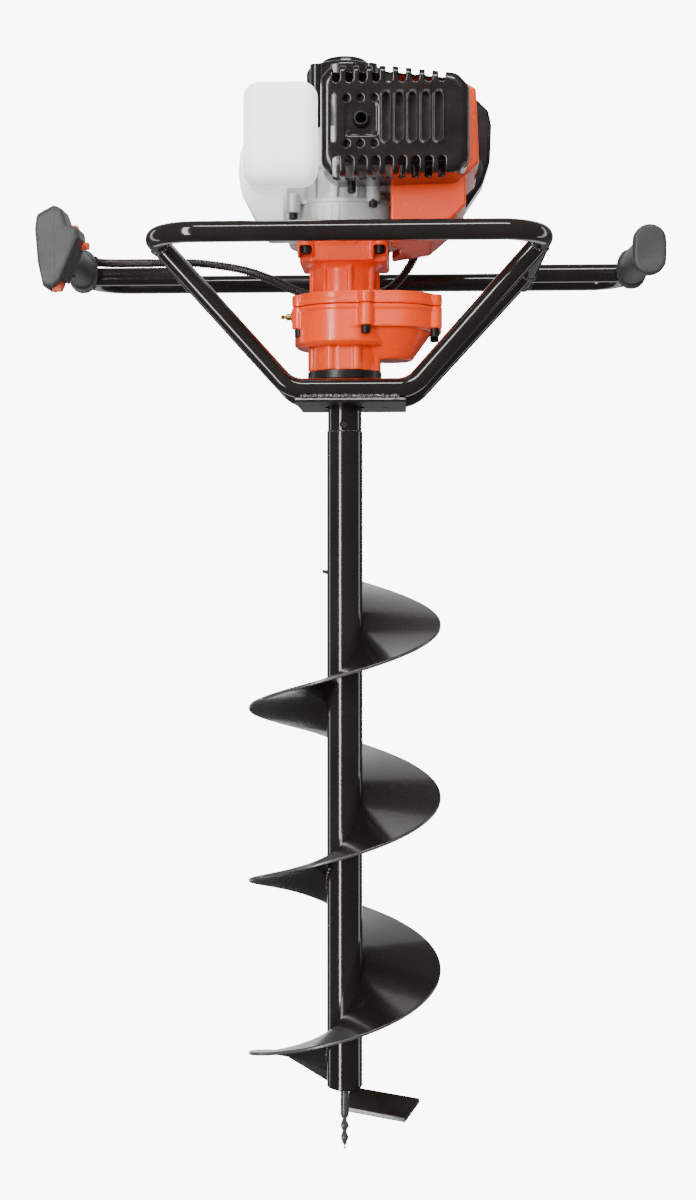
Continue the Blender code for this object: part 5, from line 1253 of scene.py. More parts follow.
@dataclass
class CarryingFrame:
    """The welded tube frame: ring, long handlebar, braces, legs and the plate under the gearbox."""

    welder: Welder
    fasteners: Fasteners
    tube_r: float = 0.010
    middle_x: float = 0.008
    ring_half: float = 0.1885
    ring_front_y: float = -0.148
    ring_bend: float = 0.045
    bar_y: float = 0.156
    bar_half: float = 0.300
    bar_bend: float = 0.040
    bar_end_y: float = -0.036
    brace_y: float = 0.100
    leg_top_y: float = 0.086
    leg_foot_y: float = 0.060
    leg_foot_half: float = 0.061
    leg_bend: float = 0.030
    plate_half_x: float = 0.056
    plate_half_y: float = 0.066
    plate_low_z: float = -0.155
    plate_corner: float = 0.004
    socket_hole_r: float = 0.0210
    bolt_hole_r: float = 0.0033
    leg_bead_half: float = 0.048
    leg_bead_aside: float = 0.0072

    def paths(self) -> dict[str, list[tuple]]:
        """The corners of each tube's centre line."""
        left, right = self.middle_x - self.ring_half, self.middle_x + self.ring_half
        far_left, far_right = self.middle_x - self.bar_half, self.middle_x + self.bar_half
        foot = PLATE_TOP_Z + self.tube_r + GAP
        lines = {
            "handlebar": [
                (far_left, self.bar_end_y, 0), (far_left, self.bar_y, 0), (far_right, self.bar_y, 0),
                (far_right, self.bar_end_y, 0),
            ],
            "handle_ring": [
                (left, self.bar_y, 0), (left, self.ring_front_y, 0), (right, self.ring_front_y, 0),
                (right, self.bar_y, 0),
            ],
            "brace_left": [(left, self.brace_y, 0), (far_left, self.brace_y, 0)],
            "brace_right": [(right, self.brace_y, 0), (far_right, self.brace_y, 0)],
        }
        for name, side in (("front_leg_tube", -1), ("rear_leg_tube", 1)):
            lines[name] = [
                (left, side * self.leg_top_y, 0),
                (self.middle_x - self.leg_foot_half, side * self.leg_foot_y, foot),
                (self.middle_x + self.leg_foot_half, side * self.leg_foot_y, foot),
                (right, side * self.leg_top_y, 0),
            ]
        return lines

    def tubes(self) -> None:
        """Bend the tubes."""
        bends = {"handlebar": self.bar_bend, "handle_ring": self.ring_bend}
        for name, corners in self.paths().items():
            tube = swept(bent_path(corners, bends.get(name, self.leg_bend)), self.tube_r, 48)
            stand_in(tube, name, degrees=60)

    def plate(self) -> None:
        """The plate with its socket hole, bolt holes and rolled edges."""
        low = (self.middle_x - self.plate_half_x, -self.plate_half_y)
        high = (self.middle_x + self.plate_half_x, self.plate_half_y)
        plate = prism(rounded(rectangle(low, high), self.plate_corner, 6), self.plate_low_z, PLATE_TOP_Z)
        cut(plate, disc(self.socket_hole_r, -0.17, -0.14, steps=72))
        for spot in bolt_ears():
            cut(plate, disc(self.bolt_hole_r, -0.17, -0.14, spot, steps=32))
        stand_in(eased(plate, 0.0007, 3), "mounting_plate", look=PLATE_PAINT)

    def welds(self) -> None:
        """Beads where the tubes meet, and along the legs on the plate."""
        lines = self.paths()
        beads = []
        y_way, x_way = Vector((0, 1, 0)), Vector((1, 0, 0))
        for name in ("front_leg_tube", "rear_leg_tube"):
            corners = [Vector(corner) for corner in lines[name]]
            for top, foot in ((corners[0], corners[1]), (corners[3], corners[2])):
                beads.append(self.welder.lay(seam(foot, top - foot, self.tube_r, top, y_way)))
            start, end = self.middle_x - self.leg_bead_half, self.middle_x + self.leg_bead_half
            for aside in (-self.leg_bead_aside, self.leg_bead_aside):
                line = [
                    Vector((
                        start + (end - start) * n / 48, corners[1].y + aside + math.sin(n * 1.7) * 0.0004,
                        PLATE_TOP_Z + 0.0018,
                    ))
                    for n in range(49)
                ]
                beads.append(self.welder.lay(line, 0.0021))
        for x in (self.middle_x - self.ring_half, self.middle_x + self.ring_half):
            start = Vector((x, 0.06, 0))
            beads.append(self.welder.lay(seam(start, y_way, self.tube_r, Vector((0, self.bar_y, 0)), x_way)))
        for name in ("brace_left", "brace_right"):
            inner, outer = (Vector(end) for end in lines[name])
            middle = (inner + outer) / 2
            for end, other in ((inner, outer), (outer, inner)):
                beads.append(self.welder.lay(seam(middle, end - other, self.tube_r, end, y_way)))
        self.welder.dress("frame_welds", "frame", beads)

    def build(self) -> None:
        """Make the frame."""
        self.tubes()
        self.plate()
        self.welds()
        spots = [(x, y, PLATE_TOP_Z + 0.0113) for x, y in bolt_ears()]
        self.fasteners.place("plate_bolts", hex_head(0.0048, 0.0046), spots)


@dataclass
class Gearbox:
    """The two orange castings, their black foot and the screws that hold them."""

    fasteners: Fasteners
    distance: float = 0.048
    left_r: float = 0.0521
    right_r: float = 0.0507
    gear_left_r: float = 0.0431
    gear_right_r: float = 0.0452
    split_z: float = -0.054
    cover_z: float = -0.041
    floor_z: float = -0.095
    right_floor_z: float = -0.077
    boss_end_z: float = -0.107
    neck_r: float = 0.0395
    neck_end_z: float = -0.119
    upper_neck_r: float = 0.0355
    bell_low_z: float = -0.0095
    seat_z: float = 0.0050
    bell_top_z: float = 0.011
    bell_half: float = 0.045
    bolt_r: float = 0.0075
    rib_count: int = 8
    grease_z: float = -0.0605
    shaft_hole_r: float = 0.0133
    bolts: tuple = (
        (-0.046, -0.022), (0.0235, -0.0525), (0.0935, -0.0225), (0.0235, 0.0525), (-0.046, 0.022),
        (0.0935, 0.0225),
    )

    def outline(self, grow: float = 0.0) -> list[Point]:
        """The outline round both shafts."""
        return belt(self.distance, self.left_r + grow, self.right_r + grow)

    def lip(self, low: float, high: float) -> Node:
        """The raised lip along the joint of the two castings, between two levels."""
        return cut(prism(self.outline(0.0016), low, high), prism(self.outline(-0.004), low - 0.01, high + 0.01))

    def lower(self) -> None:
        """The lower half: two joined rounds, a ribbed neck and the lay shaft's tapered boss."""
        centre, nipple = (self.distance, 0), (0, self.grease_z)
        left, split, floor = self.gear_left_r, self.split_z - GAP, self.right_floor_z
        case = prism(self.outline(), floor, split)
        drum = turned(
            [(0, self.floor_z), (left + 0.005, self.floor_z), (left + 0.009, self.floor_z + 0.004),
             (left + 0.009, split - 0.004), (0, split - 0.004)],
            steps=96,
        )
        boss = turned(
            [(0, self.boss_end_z), (0.0215, self.boss_end_z), (0.0235, self.boss_end_z + 0.002),
             (0.044, floor + 0.0005), (0.044, floor + 0.004), (0, floor + 0.004)],
            centre, steps=96,
        )
        neck = disc(self.neck_r - 0.003, self.neck_end_z, self.floor_z + 0.002, steps=96)
        join(case, drum, boss, neck)
        for n in range(self.rib_count):
            spot = polar(self.neck_r - 0.0045, math.radians(22.5 + 45 * n))
            join(case, disc(0.0052, self.neck_end_z, self.floor_z + 0.001, spot, steps=32))
        for spot in self.bolts:
            join(case, disc(self.bolt_r, floor + 0.0005, split, spot, steps=40))
        join(case, disc(0.0065, -0.0560, -0.0500, nipple, axis="X", steps=32))
        join(case, self.lip(split - 0.0042, split))
        cast(case, 0.0010, 4)
        cut(
            case,
            box((-0.1, -0.1, split), (0.15, 0.1, split + 0.02)),
            box((-0.1, -0.1, -0.16), (0.1, 0.1, self.neck_end_z)),
            disc(left, -0.091, split + 0.01, steps=72),
            disc(self.gear_right_r, -0.0695, split + 0.01, centre, steps=72),
            disc(0.0141, -0.091, -0.0665, centre, steps=40),
            disc(self.shaft_hole_r, -0.1015, -0.089, centre, steps=48),
            disc(0.0213, self.neck_end_z - 0.01, -0.089, steps=64),
            disc(0.0033, -0.0600, -0.0400, nipple, axis="X", steps=24),
        )
        stand_in(case, "gearbox_lower_case", degrees=40)

    def upper(self) -> None:
        """The cover with its ribbed neck and the square bell round the clutch."""
        low = self.split_z + GAP
        case = prism(self.outline(), low, self.cover_z)
        half, neck_r, bell_low, bell_top = self.bell_half, self.upper_neck_r, self.bell_low_z, self.bell_top_z
        square = rectangle((-half, -half), (half, half))
        bell = prism(rounded(square, 0.012, 10), bell_low, bell_top)
        neck = disc(neck_r - 0.0025, self.cover_z - 0.002, bell_low + 0.002, steps=96)
        waist = turned(
            [(0, bell_low - 0.006), (neck_r - 0.003, bell_low - 0.006), (half - 0.004, bell_low + 0.001),
             (half - 0.004, bell_low + 0.004), (0, bell_low + 0.004)],
            steps=96,
        )
        join(case, neck, waist, bell)
        for n in range(self.rib_count):
            ridge = box(
                (neck_r - 0.005, -0.0022, self.cover_z - 0.001), (neck_r + 0.0015, 0.0022, bell_low + 0.001)
            )
            join(case, swung(ridge, 11 + 45 * n))
        for spot in self.bolts:
            join(case, disc(self.bolt_r, low, self.cover_z - 0.001, spot, steps=40))
        for spot in self.bell_bolts():
            join(case, disc(self.bolt_r + 0.0012, bell_low + 0.003, bell_top, spot, steps=40))
        flange = cut(
            prism(rounded([(u * 1.03, v * 1.03) for u, v in square], 0.0125, 10), bell_top - 0.0035, bell_top),
            prism(rounded([(u * 0.93, v * 0.93) for u, v in square], 0.011, 10), 0.0, 0.02),
        )
        join(case, self.lip(low, low + 0.0042), flange)
        for x, y in self.bell_bolts():
            near, far = sorted((y * 0.86, y * 1.4))
            cut(case, box((x - 0.0064, near, bell_low - 0.01), (x + 0.0064, far, self.seat_z)))
        cast(case, 0.0010, 4)
        cut(
            case,
            box((-0.1, -0.1, low - 0.02), (0.15, 0.1, low)),
            box((-0.1, -0.1, bell_top), (0.1, 0.1, 0.03)),
            disc(0.0322, -0.0087, bell_top + 0.01, steps=72),
            disc(0.0163, self.cover_z - 0.002, -0.0075, steps=64),
            disc(0.013, self.split_z - 0.01, self.cover_z, steps=64),
            disc(self.shaft_hole_r, self.split_z - 0.01, self.split_z + 0.0095, (self.distance, 0), steps=48),
        )
        stand_in(case, "gearbox_upper_case", degrees=40)

    def bell_bolts(self) -> list[Point]:
        """The centres of the four bolts through the bell."""
        x, y = self.bell_half - self.bolt_r, self.bell_half - 0.0015
        return rectangle((-x, -y), (x, y))

    def foot(self) -> None:
        """The black ring with three ears between the gearbox and the plate."""
        low, high, r = PLATE_TOP_Z + GAP, self.neck_end_z - GAP, self.neck_r
        body = disc(r - 0.001, low, high, steps=96)
        for spot in bolt_ears():
            join(body, disc(0.0075, low, low + 0.011, spot, steps=40))
        groove = [(r - 0.002, high - 0.0085), (r + 0.002, high - 0.0095), (r + 0.002, high - 0.0065)]
        cut(body, turned(groove, steps=96))
        eased(body, 0.0009, 3)
        cut(body, disc(0.0187, low - 0.01, high + 0.01, steps=64))
        cut(body, *[disc(0.0033, low - 0.01, low + 0.02, spot, steps=24) for spot in bolt_ears()])
        stand_in(body, "gearbox_base_ring", look=FOOT_PAINT)

    def nipple(self) -> None:
        """The grease nipple."""
        x, spot = -0.0562, (0, self.grease_z)
        body = turned(
            [(0, x - 0.0105), (0.0012, x - 0.0105), (0.0019, x - 0.0100), (0.0025, x - 0.0088),
             (0.0022, x - 0.0074), (0.0015, x - 0.0062), (0.0022, x - 0.0052), (0.0036, x - 0.0045),
             (0.0036, x - GAP), (0.0029, x - GAP), (0.0029, x + 0.0045), (0, x + 0.0045)],
            spot, "X", 48,
        )
        stand_in(body, "grease_nipple")

    def build(self) -> None:
        """Make the gearbox."""
        self.lower()
        self.upper()
        self.foot()
        self.nipple()
        under = [(x, y, self.right_floor_z + 0.0007) for x, y in self.bolts]
        self.fasteners.place("case_screws", hex_head(0.0047, 0.0082), under, (180, 0, 0))
        under = [(x, y * 1.02, self.seat_z + GAP) for x, y in self.bell_bolts()]
        self.fasteners.place("bell_screws", hex_head(0.0049, 0.0082), under, (180, 0, 0))


@dataclass
class Grips:
    """The rubber grip, the throttle handle's two shells and their controls."""

    left_x: float = -0.292
    right_x: float = 0.308
    rear_y: float = 0.084
    front_y: float = -0.052
    tube_r: float = 0.010
    bar_end_y: float = -0.036
    half_x: float = 0.0140
    half_z: float = 0.0165
    flange_x: float = 0.0160
    flange_z: float = 0.0215
    cap_x: float = 0.0168
    cap_z: float = 0.0255
    cap_lift: float = -0.0018
    rim: float = 0.0044
    trigger_pin_r: float = 0.0023
    trigger_width: float = 0.0098
    lift: float = 0.0025

    @staticmethod
    def oval(
        x: float, y: float, half_x: float, half_z: float, lift: float, straight: float = 0.0
    ) -> list[Vector]:
        """A section of a grip: a soft oval, or as its last value nears 1 a straight-sided stadium."""
        points = []
        for angle in turns(72):
            c, s = math.cos(angle), math.sin(angle)
            oval_x = math.copysign(abs(c) ** (2 / 2.3), c) * half_x
            oval_z = math.copysign(abs(s) ** (2 / 2.3), s) * half_z
            flank = max(-1.0, min(1.0, 4.0 * s)) * (half_z - half_x)
            points.append(
                Vector((
                    x + oval_x + (c * half_x - oval_x) * straight, y,
                    lift + oval_z + (s * half_x + flank - oval_z) * straight,
                ))
            )
        return points

    def grip_body(self, x: float, sections: tuple, cap_y: float = -1.0) -> Node:
        """Loft smoothly through a grip's sections, which turn into stadiums ahead of a depth."""
        knots = [Vector(section) for section in sections]
        ends = [2 * knots[0] - knots[1]] + knots + [2 * knots[-1] - knots[-2]]
        rows = []
        for a, b, c, d in zip(ends, ends[1:], ends[2:], ends[3:]):
            for n in range(6):
                t = n / 6
                low = [min(u, v) - 0.0001 for u, v in zip(b, c)]
                high = [max(u, v) + 0.0001 for u, v in zip(b, c)]
                row = [spline(*values, t) for values in zip(a, b, c, d)]
                rows.append([min(max(value, lo), hi) for value, lo, hi in zip(row, low, high)])
        rows.append(list(knots[-1]))
        return loft([self.oval(x, *row, max(0.0, min(1.0, (cap_y - row[0]) / 0.006))) for row in rows])

    def channel(self, x: float) -> Node:
        """The bore for the handlebar."""
        return disc(self.tube_r + GAP, self.bar_end_y - GAP, self.rear_y + 0.02, (x, 0), axis="Y", steps=48)

    def right(self) -> None:
        """The right grip, with its tall, round-ended cap."""
        r, fx, fz = self.rear_y, self.flange_x, self.flange_z
        sections = (
            (r, fx - 0.001, fz - 0.001, 0.001), (r - 0.002, fx, fz, 0.001), (r - 0.006, fx, fz, 0.001),
            (r - 0.011, self.half_x, self.half_z, 0), (0.030, self.half_x + 0.0008, self.half_z + 0.001, 0),
            (-0.015, self.half_x - 0.0003, self.half_z, 0), (-0.030, self.half_x, self.half_z + 0.001, -0.0005),
            (-0.040, self.cap_x - 0.0008, self.cap_z - 0.001, self.cap_lift + 0.0003),
            (-0.043, self.cap_x, self.cap_z, self.cap_lift),
        )
        start_y = self.front_y + self.rim
        for angle in quarter(8):
            inset = self.rim * (1 - math.cos(angle))
            y = start_y - self.rim * math.sin(angle)
            sections += ((y, self.cap_x - inset, self.cap_z - inset, self.cap_lift),)
        body = self.grip_body(self.right_x, sections, -0.036)
        cut(body, self.channel(self.right_x))
        stand_in(body, "right_grip", degrees=40)

    def pod_outline(self, inset: float = 0.0) -> list[Point]:
        """The throttle pod seen from its end: a tall shield with a step on its inner side."""
        corners = [
            (-0.0195, 0.0385), (-0.0020, 0.0480), (0.0065, 0.0440), (0.0120, 0.0280), (0.0235, 0.0240),
            (0.0245, 0.0140), (0.0050, -0.0315), (-0.0020, -0.0375), (-0.0130, -0.0360), (-0.0185, -0.0110),
            (-0.0215, 0.0240),
        ]
        radii = [0.006, 0.005, 0.004, 0.004, 0.003, 0.004, 0.006, 0.005, 0.005, 0.03, 0.02]
        return [(self.left_x + u * (1 - inset), v * (1 - inset)) for u, v in rounded(corners, radii, 8)]

    def left(self) -> None:
        """The left handle in two shells: a slim grip and the pod with its crowned end face."""
        r, fx, fz, up = self.rear_y, self.flange_x, self.flange_z, self.lift
        sections = (
            (r, fx - 0.001, fz + 0.001, up), (r - 0.002, fx, fz + 0.002, up), (r - 0.007, fx, fz + 0.002, up),
            (r - 0.012, self.half_x, self.half_z + 0.0015, up),
            (0.030, self.half_x + 0.0008, self.half_z + 0.001, up),
            (0.004, self.half_x, self.half_z + 0.001, up),
            (-0.014, self.half_x + 0.001, self.half_z + 0.004, up),
            (-0.020, self.half_x + 0.001, self.half_z + 0.004, up),
        )
        handle = self.grip_body(self.left_x, sections)
        rows = [(-0.012, 0.12), (-0.0145, 0.07), (-0.018, 0.03), (-0.024, 0.0)]
        rows += [(-0.0505 - 0.0070 * math.sin(a), 0.17 * (1 - math.cos(a))) for a in quarter(10)]
        rows += [(-0.0578, 0.24), (-0.0580, 0.34)]
        join(handle, loft([[Vector((u, y, v)) for u, v in self.pod_outline(inset)] for y, inset in rows]))
        x, switch_x = self.left_x, self.left_x + 0.0168
        cut(
            handle,
            self.channel(x),
            box((x - 0.0063, -0.0530, -0.060), (x + 0.0063, 0.0145, -0.0116)),
            box((x - 0.0053, -0.0065, 0.0114), (x + 0.0053, 0.0520, 0.040)),
            box((switch_x - 0.0045, -0.0485, 0.0170), (switch_x + 0.0045, -0.0265, 0.06)),
            disc(0.0043, x + 0.0140, x + 0.0400, (-0.028, 0.0100), axis="X", steps=40),
            disc(0.0052, self.rear_y - 0.004, self.rear_y + 0.01, (x + 0.0125, 0.0152), axis="Y", steps=40),
        )
        twin, half_seam = linked(handle.data.copy()), 0.00004
        outer = cut(twin, box((x - half_seam, -0.2, -0.2), (x + 0.2, 0.2, 0.2)))
        inner = cut(handle, box((x - 0.2, -0.2, -0.2), (x + half_seam, 0.2, 0.2)))
        join(
            inner,
            disc(0.0020, x - 0.0060, x + 0.0083, (-0.036, -0.0185), "X", 24),
            disc(0.0016, x - 0.0050, x + 0.0073, (0.046, 0.0158), "X", 24),
        )
        stand_in(outer, "throttle_handle_outer_shell", degrees=38)
        stand_in(inner, "throttle_handle_inner_shell", degrees=38)

    def controls(self) -> None:
        """The trigger, hollowed for the finger, and the interlock, stop switch and lock button."""
        outline = [
            (-0.0400, -0.0135), (-0.0320, -0.0135), (-0.0200, -0.0190), (-0.0100, -0.0212), (-0.0110, -0.0240),
            (-0.0225, -0.0272), (-0.0310, -0.0345), (-0.0400, -0.0390), (-0.0465, -0.0395), (-0.0480, -0.0330),
            (-0.0420, -0.0220),
        ]
        low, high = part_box("throttle_trigger")
        trigger = prism(rounded(outline, 0.0016, 5), low[0] + 0.0004, low[0] + self.trigger_width, axis="X")
        cast(trigger, 0.0005, 6)
        cut(trigger, disc(self.trigger_pin_r, low[0] - 0.01, high[0] + 0.01, (-0.036, -0.0185), "X", 32))
        stand_in(trigger, "throttle_trigger")
        widths = {"throttle_interlock": 0.0008, "stop_switch": 0.0003, "throttle_lock_button": 0.0003}
        for node, width in widths.items():
            stand_in(eased(smoothed(node), width, 3, 40), node)

    def build(self) -> None:
        """Make the grips."""
        self.right()
        self.left()
        self.controls()


@dataclass
class ThrottleConduit:
    """The ribbed conduit from the left handle to the carburettor."""

    radius: float = 0.0048
    route: tuple = (
        (-0.2795, 0.0805, 0.0152), (-0.2792, 0.0930, 0.0153), (-0.2660, 0.1010, 0.0155),
        (-0.2300, 0.1025, 0.0156), (-0.1950, 0.1035, 0.0156), (-0.1650, 0.1045, 0.0150),
        (-0.1200, 0.1050, 0.0080), (-0.0850, 0.0960, -0.0050), (-0.0500, 0.0780, -0.0230),
        (0.0000, 0.0680, -0.0340), (0.0420, 0.0680, -0.0230), (0.0680, 0.0690, 0.0050),
        (0.0800, 0.0730, 0.0400), (0.0830, 0.0760, 0.0737),
    )
    smooth_pieces: int = 34
    rib_step: float = 0.0030

    def build(self) -> None:
        """Make the conduit: a plain sleeve, and ribs along the rest."""
        path = smooth_path(self.route, 10)
        core = swept(path, self.radius - 0.0009, 24)
        sleeve = swept(path[:self.smooth_pieces], self.radius - 0.0002, 24)
        r = self.radius
        rib = turned(
            [(r - 0.0014, -0.0011), (r - 0.0003, -0.0008), (r, -0.0003), (r, 0.0003), (r - 0.0003, 0.0008),
             (r - 0.0014, 0.0011)],
            steps=20,
        )
        line = carrier_of(path[self.smooth_pieces - 1:], True)
        ribs = rib_tree().run(line, Step=self.rib_step, Rib=rib, Finish=finish(Surface.BLACK_PLASTIC))
        bpy.data.objects.remove(rib, do_unlink=True)
        conduit = stand_in(merged(core, sleeve, ribs), "throttle_cable", degrees=50)
        length = sum((after - before).length for before, after in zip(path, path[1:]))
        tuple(self.route[0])


@dataclass
class MufflerGuard:
    """The slotted heat guard in front of the engine, and the exhaust box inside it."""

    fasteners: Fasteners
    left_x: float = -0.019
    right_x: float = 0.126
    front_y: float = -0.116
    back_y: float = -0.0625
    low_z: float = 0.060
    top_z: float = 0.168
    wall: float = 0.0022
    slot_x: float = 0.0452
    slot_pitch: float = 0.0127
    slot_z: float = 0.1155
    slot_half: float = 0.0235
    slot_half_width: float = 0.0034
    outlet: tuple = (0.021, 0.1135)
    outlet_r: float = 0.0068

    def long_slots(self) -> list[Point]:
        """The centres of the five long slots side by side."""
        return [(self.slot_x + self.slot_pitch * n, self.slot_z) for n in range(5)]

    def section(self, level: float, inset: float) -> list[Vector]:
        """The guard's outline at a depth, drawn in on all sides."""
        left, right, low, top = self.left_x, self.right_x, self.low_z, self.top_z
        outline = [
            (left, low + 0.012), (left + 0.012, low), (right - 0.012, low + 0.003), (right, low + 0.016),
            (right, top - 0.022), (right - 0.012, top - 0.0085), (0.046, top - 0.0005), (left + 0.010, top),
            (left, top - 0.012),
        ]
        middle_u, middle_v = (left + right) / 2, (low + top) / 2
        return [
            Vector((u - math.copysign(inset, u - middle_u), level, v - math.copysign(inset, v - middle_v)))
            for u, v in rounded(outline, 0.014, 8)
        ]

    def shell(self) -> Node:
        """The deep tray with rounded shoulders."""
        front, wall = self.front_y, self.wall
        outer, inner = [self.section(self.back_y, 0)], [self.section(self.back_y + 0.01, wall)]
        for a in quarter(6):
            depth, inset = 1 - math.sin(a), 1 - math.cos(a)
            outer.append(self.section(front + 0.009 * depth, 0.009 * inset))
            inner.append(self.section(front + wall + 0.0075 * depth, wall + 0.0075 * inset))
        return cut(loft(outer), loft(inner))

    def opening(self, spot: Point, half_width: float, half_length: float, steps: int = 10) -> Node:
        """The shape of one slot through the front."""
        outline = slot_outline(spot, half_width, half_length, steps=steps)
        return prism(outline, self.front_y - 0.01, self.front_y + 0.014, axis="Y")

    def slots(self) -> list[Node]:
        """The shapes of every opening."""
        front, low, top = self.front_y, self.low_z, self.top_z
        half, width = self.slot_half, self.slot_half_width
        tools = [self.opening(spot, width, half) for spot in self.long_slots()]
        tools.append(self.opening((-0.0065, self.slot_z), 0.0018, half, 8))
        for n in range(3):
            tools += [self.opening((0.0065 + 0.0135 * n, z), 0.0030, 0.0036) for z in (0.1345, 0.0905)]
        for n in range(9):
            x = -0.0035 + 0.0128 * n
            for z, length in ((low + 0.0010, 0.0170), (top + 0.0020, 0.0200)):
                tools.append(self.opening((x, z), width, length))
            under = slot_outline((x, front + 0.008), width, 0.016, steps=8)
            over = slot_outline((x, front + 0.008), width, 0.018, steps=8)
            tools += [prism(under, low - 0.01, low + 0.012), prism(over, top - 0.012, top + 0.01)]
        for n in range(5):
            outline = slot_outline((front + 0.026, 0.078 + 0.0150 * n), 0.0030, 0.014, -math.pi / 2 + 0.5, 8)
            tools.append(prism(outline, self.right_x - 0.012, self.right_x + 0.02, axis="X"))
        return tools

    def rims(self) -> list[Node]:
        """The raised lips round the long slots."""
        levels = (self.front_y - 0.0012, self.front_y + 0.0008)
        width, half = self.slot_half_width + 0.0015, self.slot_half + 0.0015
        outlines = [slot_outline(spot, width, half, steps=10) for spot in self.long_slots()]
        return [prism(outline, *levels, axis="Y") for outline in outlines]

    def recess(self) -> Node:
        """The shallow square dish round the exhaust outlet."""
        (x, z), front = self.outlet, self.front_y
        rings = []
        for level, half in ((front - 0.002, 0.0170), (front + 0.0006, 0.0158), (front + 0.0012, 0.0150)):
            corners = rounded(rectangle((x - half, z - half), (x + half, z + half)), 0.003, 6)
            rings.append([Vector((u, level, v)) for u, v in corners])
        return loft(rings)

    def muffler(self) -> None:
        """The exhaust box with its folded seam, its port and its outlet."""
        low, high, fold = (0.002, -0.1085, 0.080), (0.112, -0.066, 0.152), 0.0012
        body = box(low, high, 0.007, 8)
        folded = box(
            (low[0] - fold, -0.0885, low[2] - fold), (high[0] + fold, -0.0870, high[2] + fold), 0.0005, 2
        )
        port = disc(0.015, high[1] - 0.002, -0.0403, (0.086, 0.092), "Y", 48)
        pipe = disc(self.outlet_r, -0.123, low[1] + 0.0035, self.outlet, "Y", 64)
        join(body, folded, port, pipe)
        cut(body, disc(self.outlet_r - 0.0014, -0.130, low[1] + 0.0185, self.outlet, "Y", 64))
        stand_in(eased(body, 0.0004, 2, 50), "muffler", degrees=45)

    def build(self) -> None:
        """Make the guard and the muffler."""
        shell = cut(join(self.shell(), *self.rims()), self.recess(), *self.slots())
        hole = disc(self.outlet_r + 0.0008, self.front_y - 0.01, self.front_y + 0.02, self.outlet, "Y", 48)
        stand_in(cast(cut(shell, hole), 0.0009, 3), "muffler_guard", look=GUARD_PLASTIC, degrees=70)
        self.muffler()
        x, z = self.outlet
        spots = [(x + side, self.front_y + 0.0014, z - 0.0125) for side in (-0.0125, 0.0125)]
        self.fasteners.place("guard_screws", hex_head(0.0026, 0.0011), spots, (90, 0, 0))
        spots = [(0.0100, -0.0700, self.low_z + 0.0004)]
        self.fasteners.place("guard_bolt", hex_head(0.0042, 0.0075), spots, (180, 0, 0))


@dataclass
class FuelTank:
    """The milky tank, its seam and its screw cap."""

    seat_x: float = -0.060
    left_x: float = -0.111
    front_y: float = -0.080
    low_z: float = 0.0280
    belly_z: float = 0.0605
    top_z: float = 0.166
    corner: float = 0.0162
    cap_x: float = -0.066
    cap_y: float = 0.024
    cap_r: float = 0.021

    def tank(self) -> None:
        """The tank's body, its blocks melted into one moulding, with the mould's seam standing proud."""
        left, seat, top, front_y = self.left_x, self.seat_x, self.top_z, self.front_y
        near_x, far_x, side_x = left + 0.0120, seat + 0.0355, seat - 0.0010
        front = box((near_x, front_y, self.belly_z), (far_x, front_y + 0.0330, top), self.corner, 12)
        outline = [
            (left, 0.0880), (left + 0.0070, 0.0600), (left + 0.0260, self.low_z), (side_x, self.low_z),
            (side_x, 0.0500), (seat - GAP, top - 0.0030), (left + 0.0300, top - 0.0030),
            (left + 0.0140, top - 0.0160), (left + 0.0095, 0.1150), (left, 0.0960),
        ]
        radii = [0.004, 0.012, 0.006, 0.004, 0.001, 0.001, 0.010, 0.008, 0.010, 0.004]
        rear = prism(rounded(outline, radii, 6), -0.030, 0.062, axis="Y")
        slant = [
            (left - 0.01, -0.04), (left + 0.0052, -0.04), (left + 0.0048, -0.030), (left - 0.0002, 0.004),
            (left - 0.01, 0.004),
        ]
        cut(rear, prism(slant, 0.0, 0.2))
        back = box((left + 0.0130, -0.0660, 0.0620), (seat - GAP, 0.0625, top - 0.0010), 0.0140, 8)
        join(front, eased(rear, 0.004, 4, 50), back)
        cast(front, 0.0012, 8)
        band = rounded(rectangle((near_x, self.belly_z), (far_x, top)), self.corner, 10)
        bead = prism(band, front_y + 0.0158, front_y + 0.0170, axis="Y")
        cut(bead, box((left + 0.03, front_y, 0.08), (seat + 0.018, 0, top - 0.02)))
        spot = (self.cap_x, self.cap_y)
        join(front, disc(0.0165, top - 0.010, top + 0.006, spot, steps=72))
        cut(
            front,
            disc(0.0125, top - 0.030, top + 0.02, spot, steps=64),
            box((seat - 0.0002, -0.0175, 0.0480), (0.02, 0.0165, 0.1215)),
        )
        stand_in(merged(front, bead), "fuel_tank", degrees=40)

    def cap(self) -> None:
        """The cap with its finger grooves and a stepped top."""
        z, r, spot = self.top_z, self.cap_r, (self.cap_x, self.cap_y)
        top = z + 0.0205
        body = turned(
            [(0, z - 0.006), (0.0118, z - 0.006), (0.0118, z + 0.0063), (0.0170, z + 0.0063),
             (0.0170, z + 0.0008), (r - 0.0006, z + 0.0008), (r, z + 0.0014), (r, top - 0.0024),
             (r - 0.0006, top - 0.0010), (r - 0.0022, top), (0.0135, top), (0.0125, top - 0.0012),
             (0, top - 0.0012)],
            spot, steps=96,
        )
        for angle in turns(24):
            cut(body, disc(0.0017, z + 0.0030, top + 0.01, polar(r + 0.0009, angle, spot), steps=20))
        stand_in(body, "fuel_cap", degrees=40)

    def build(self) -> None:
        """Make the tank and its cap."""
        self.tank()
        self.cap()


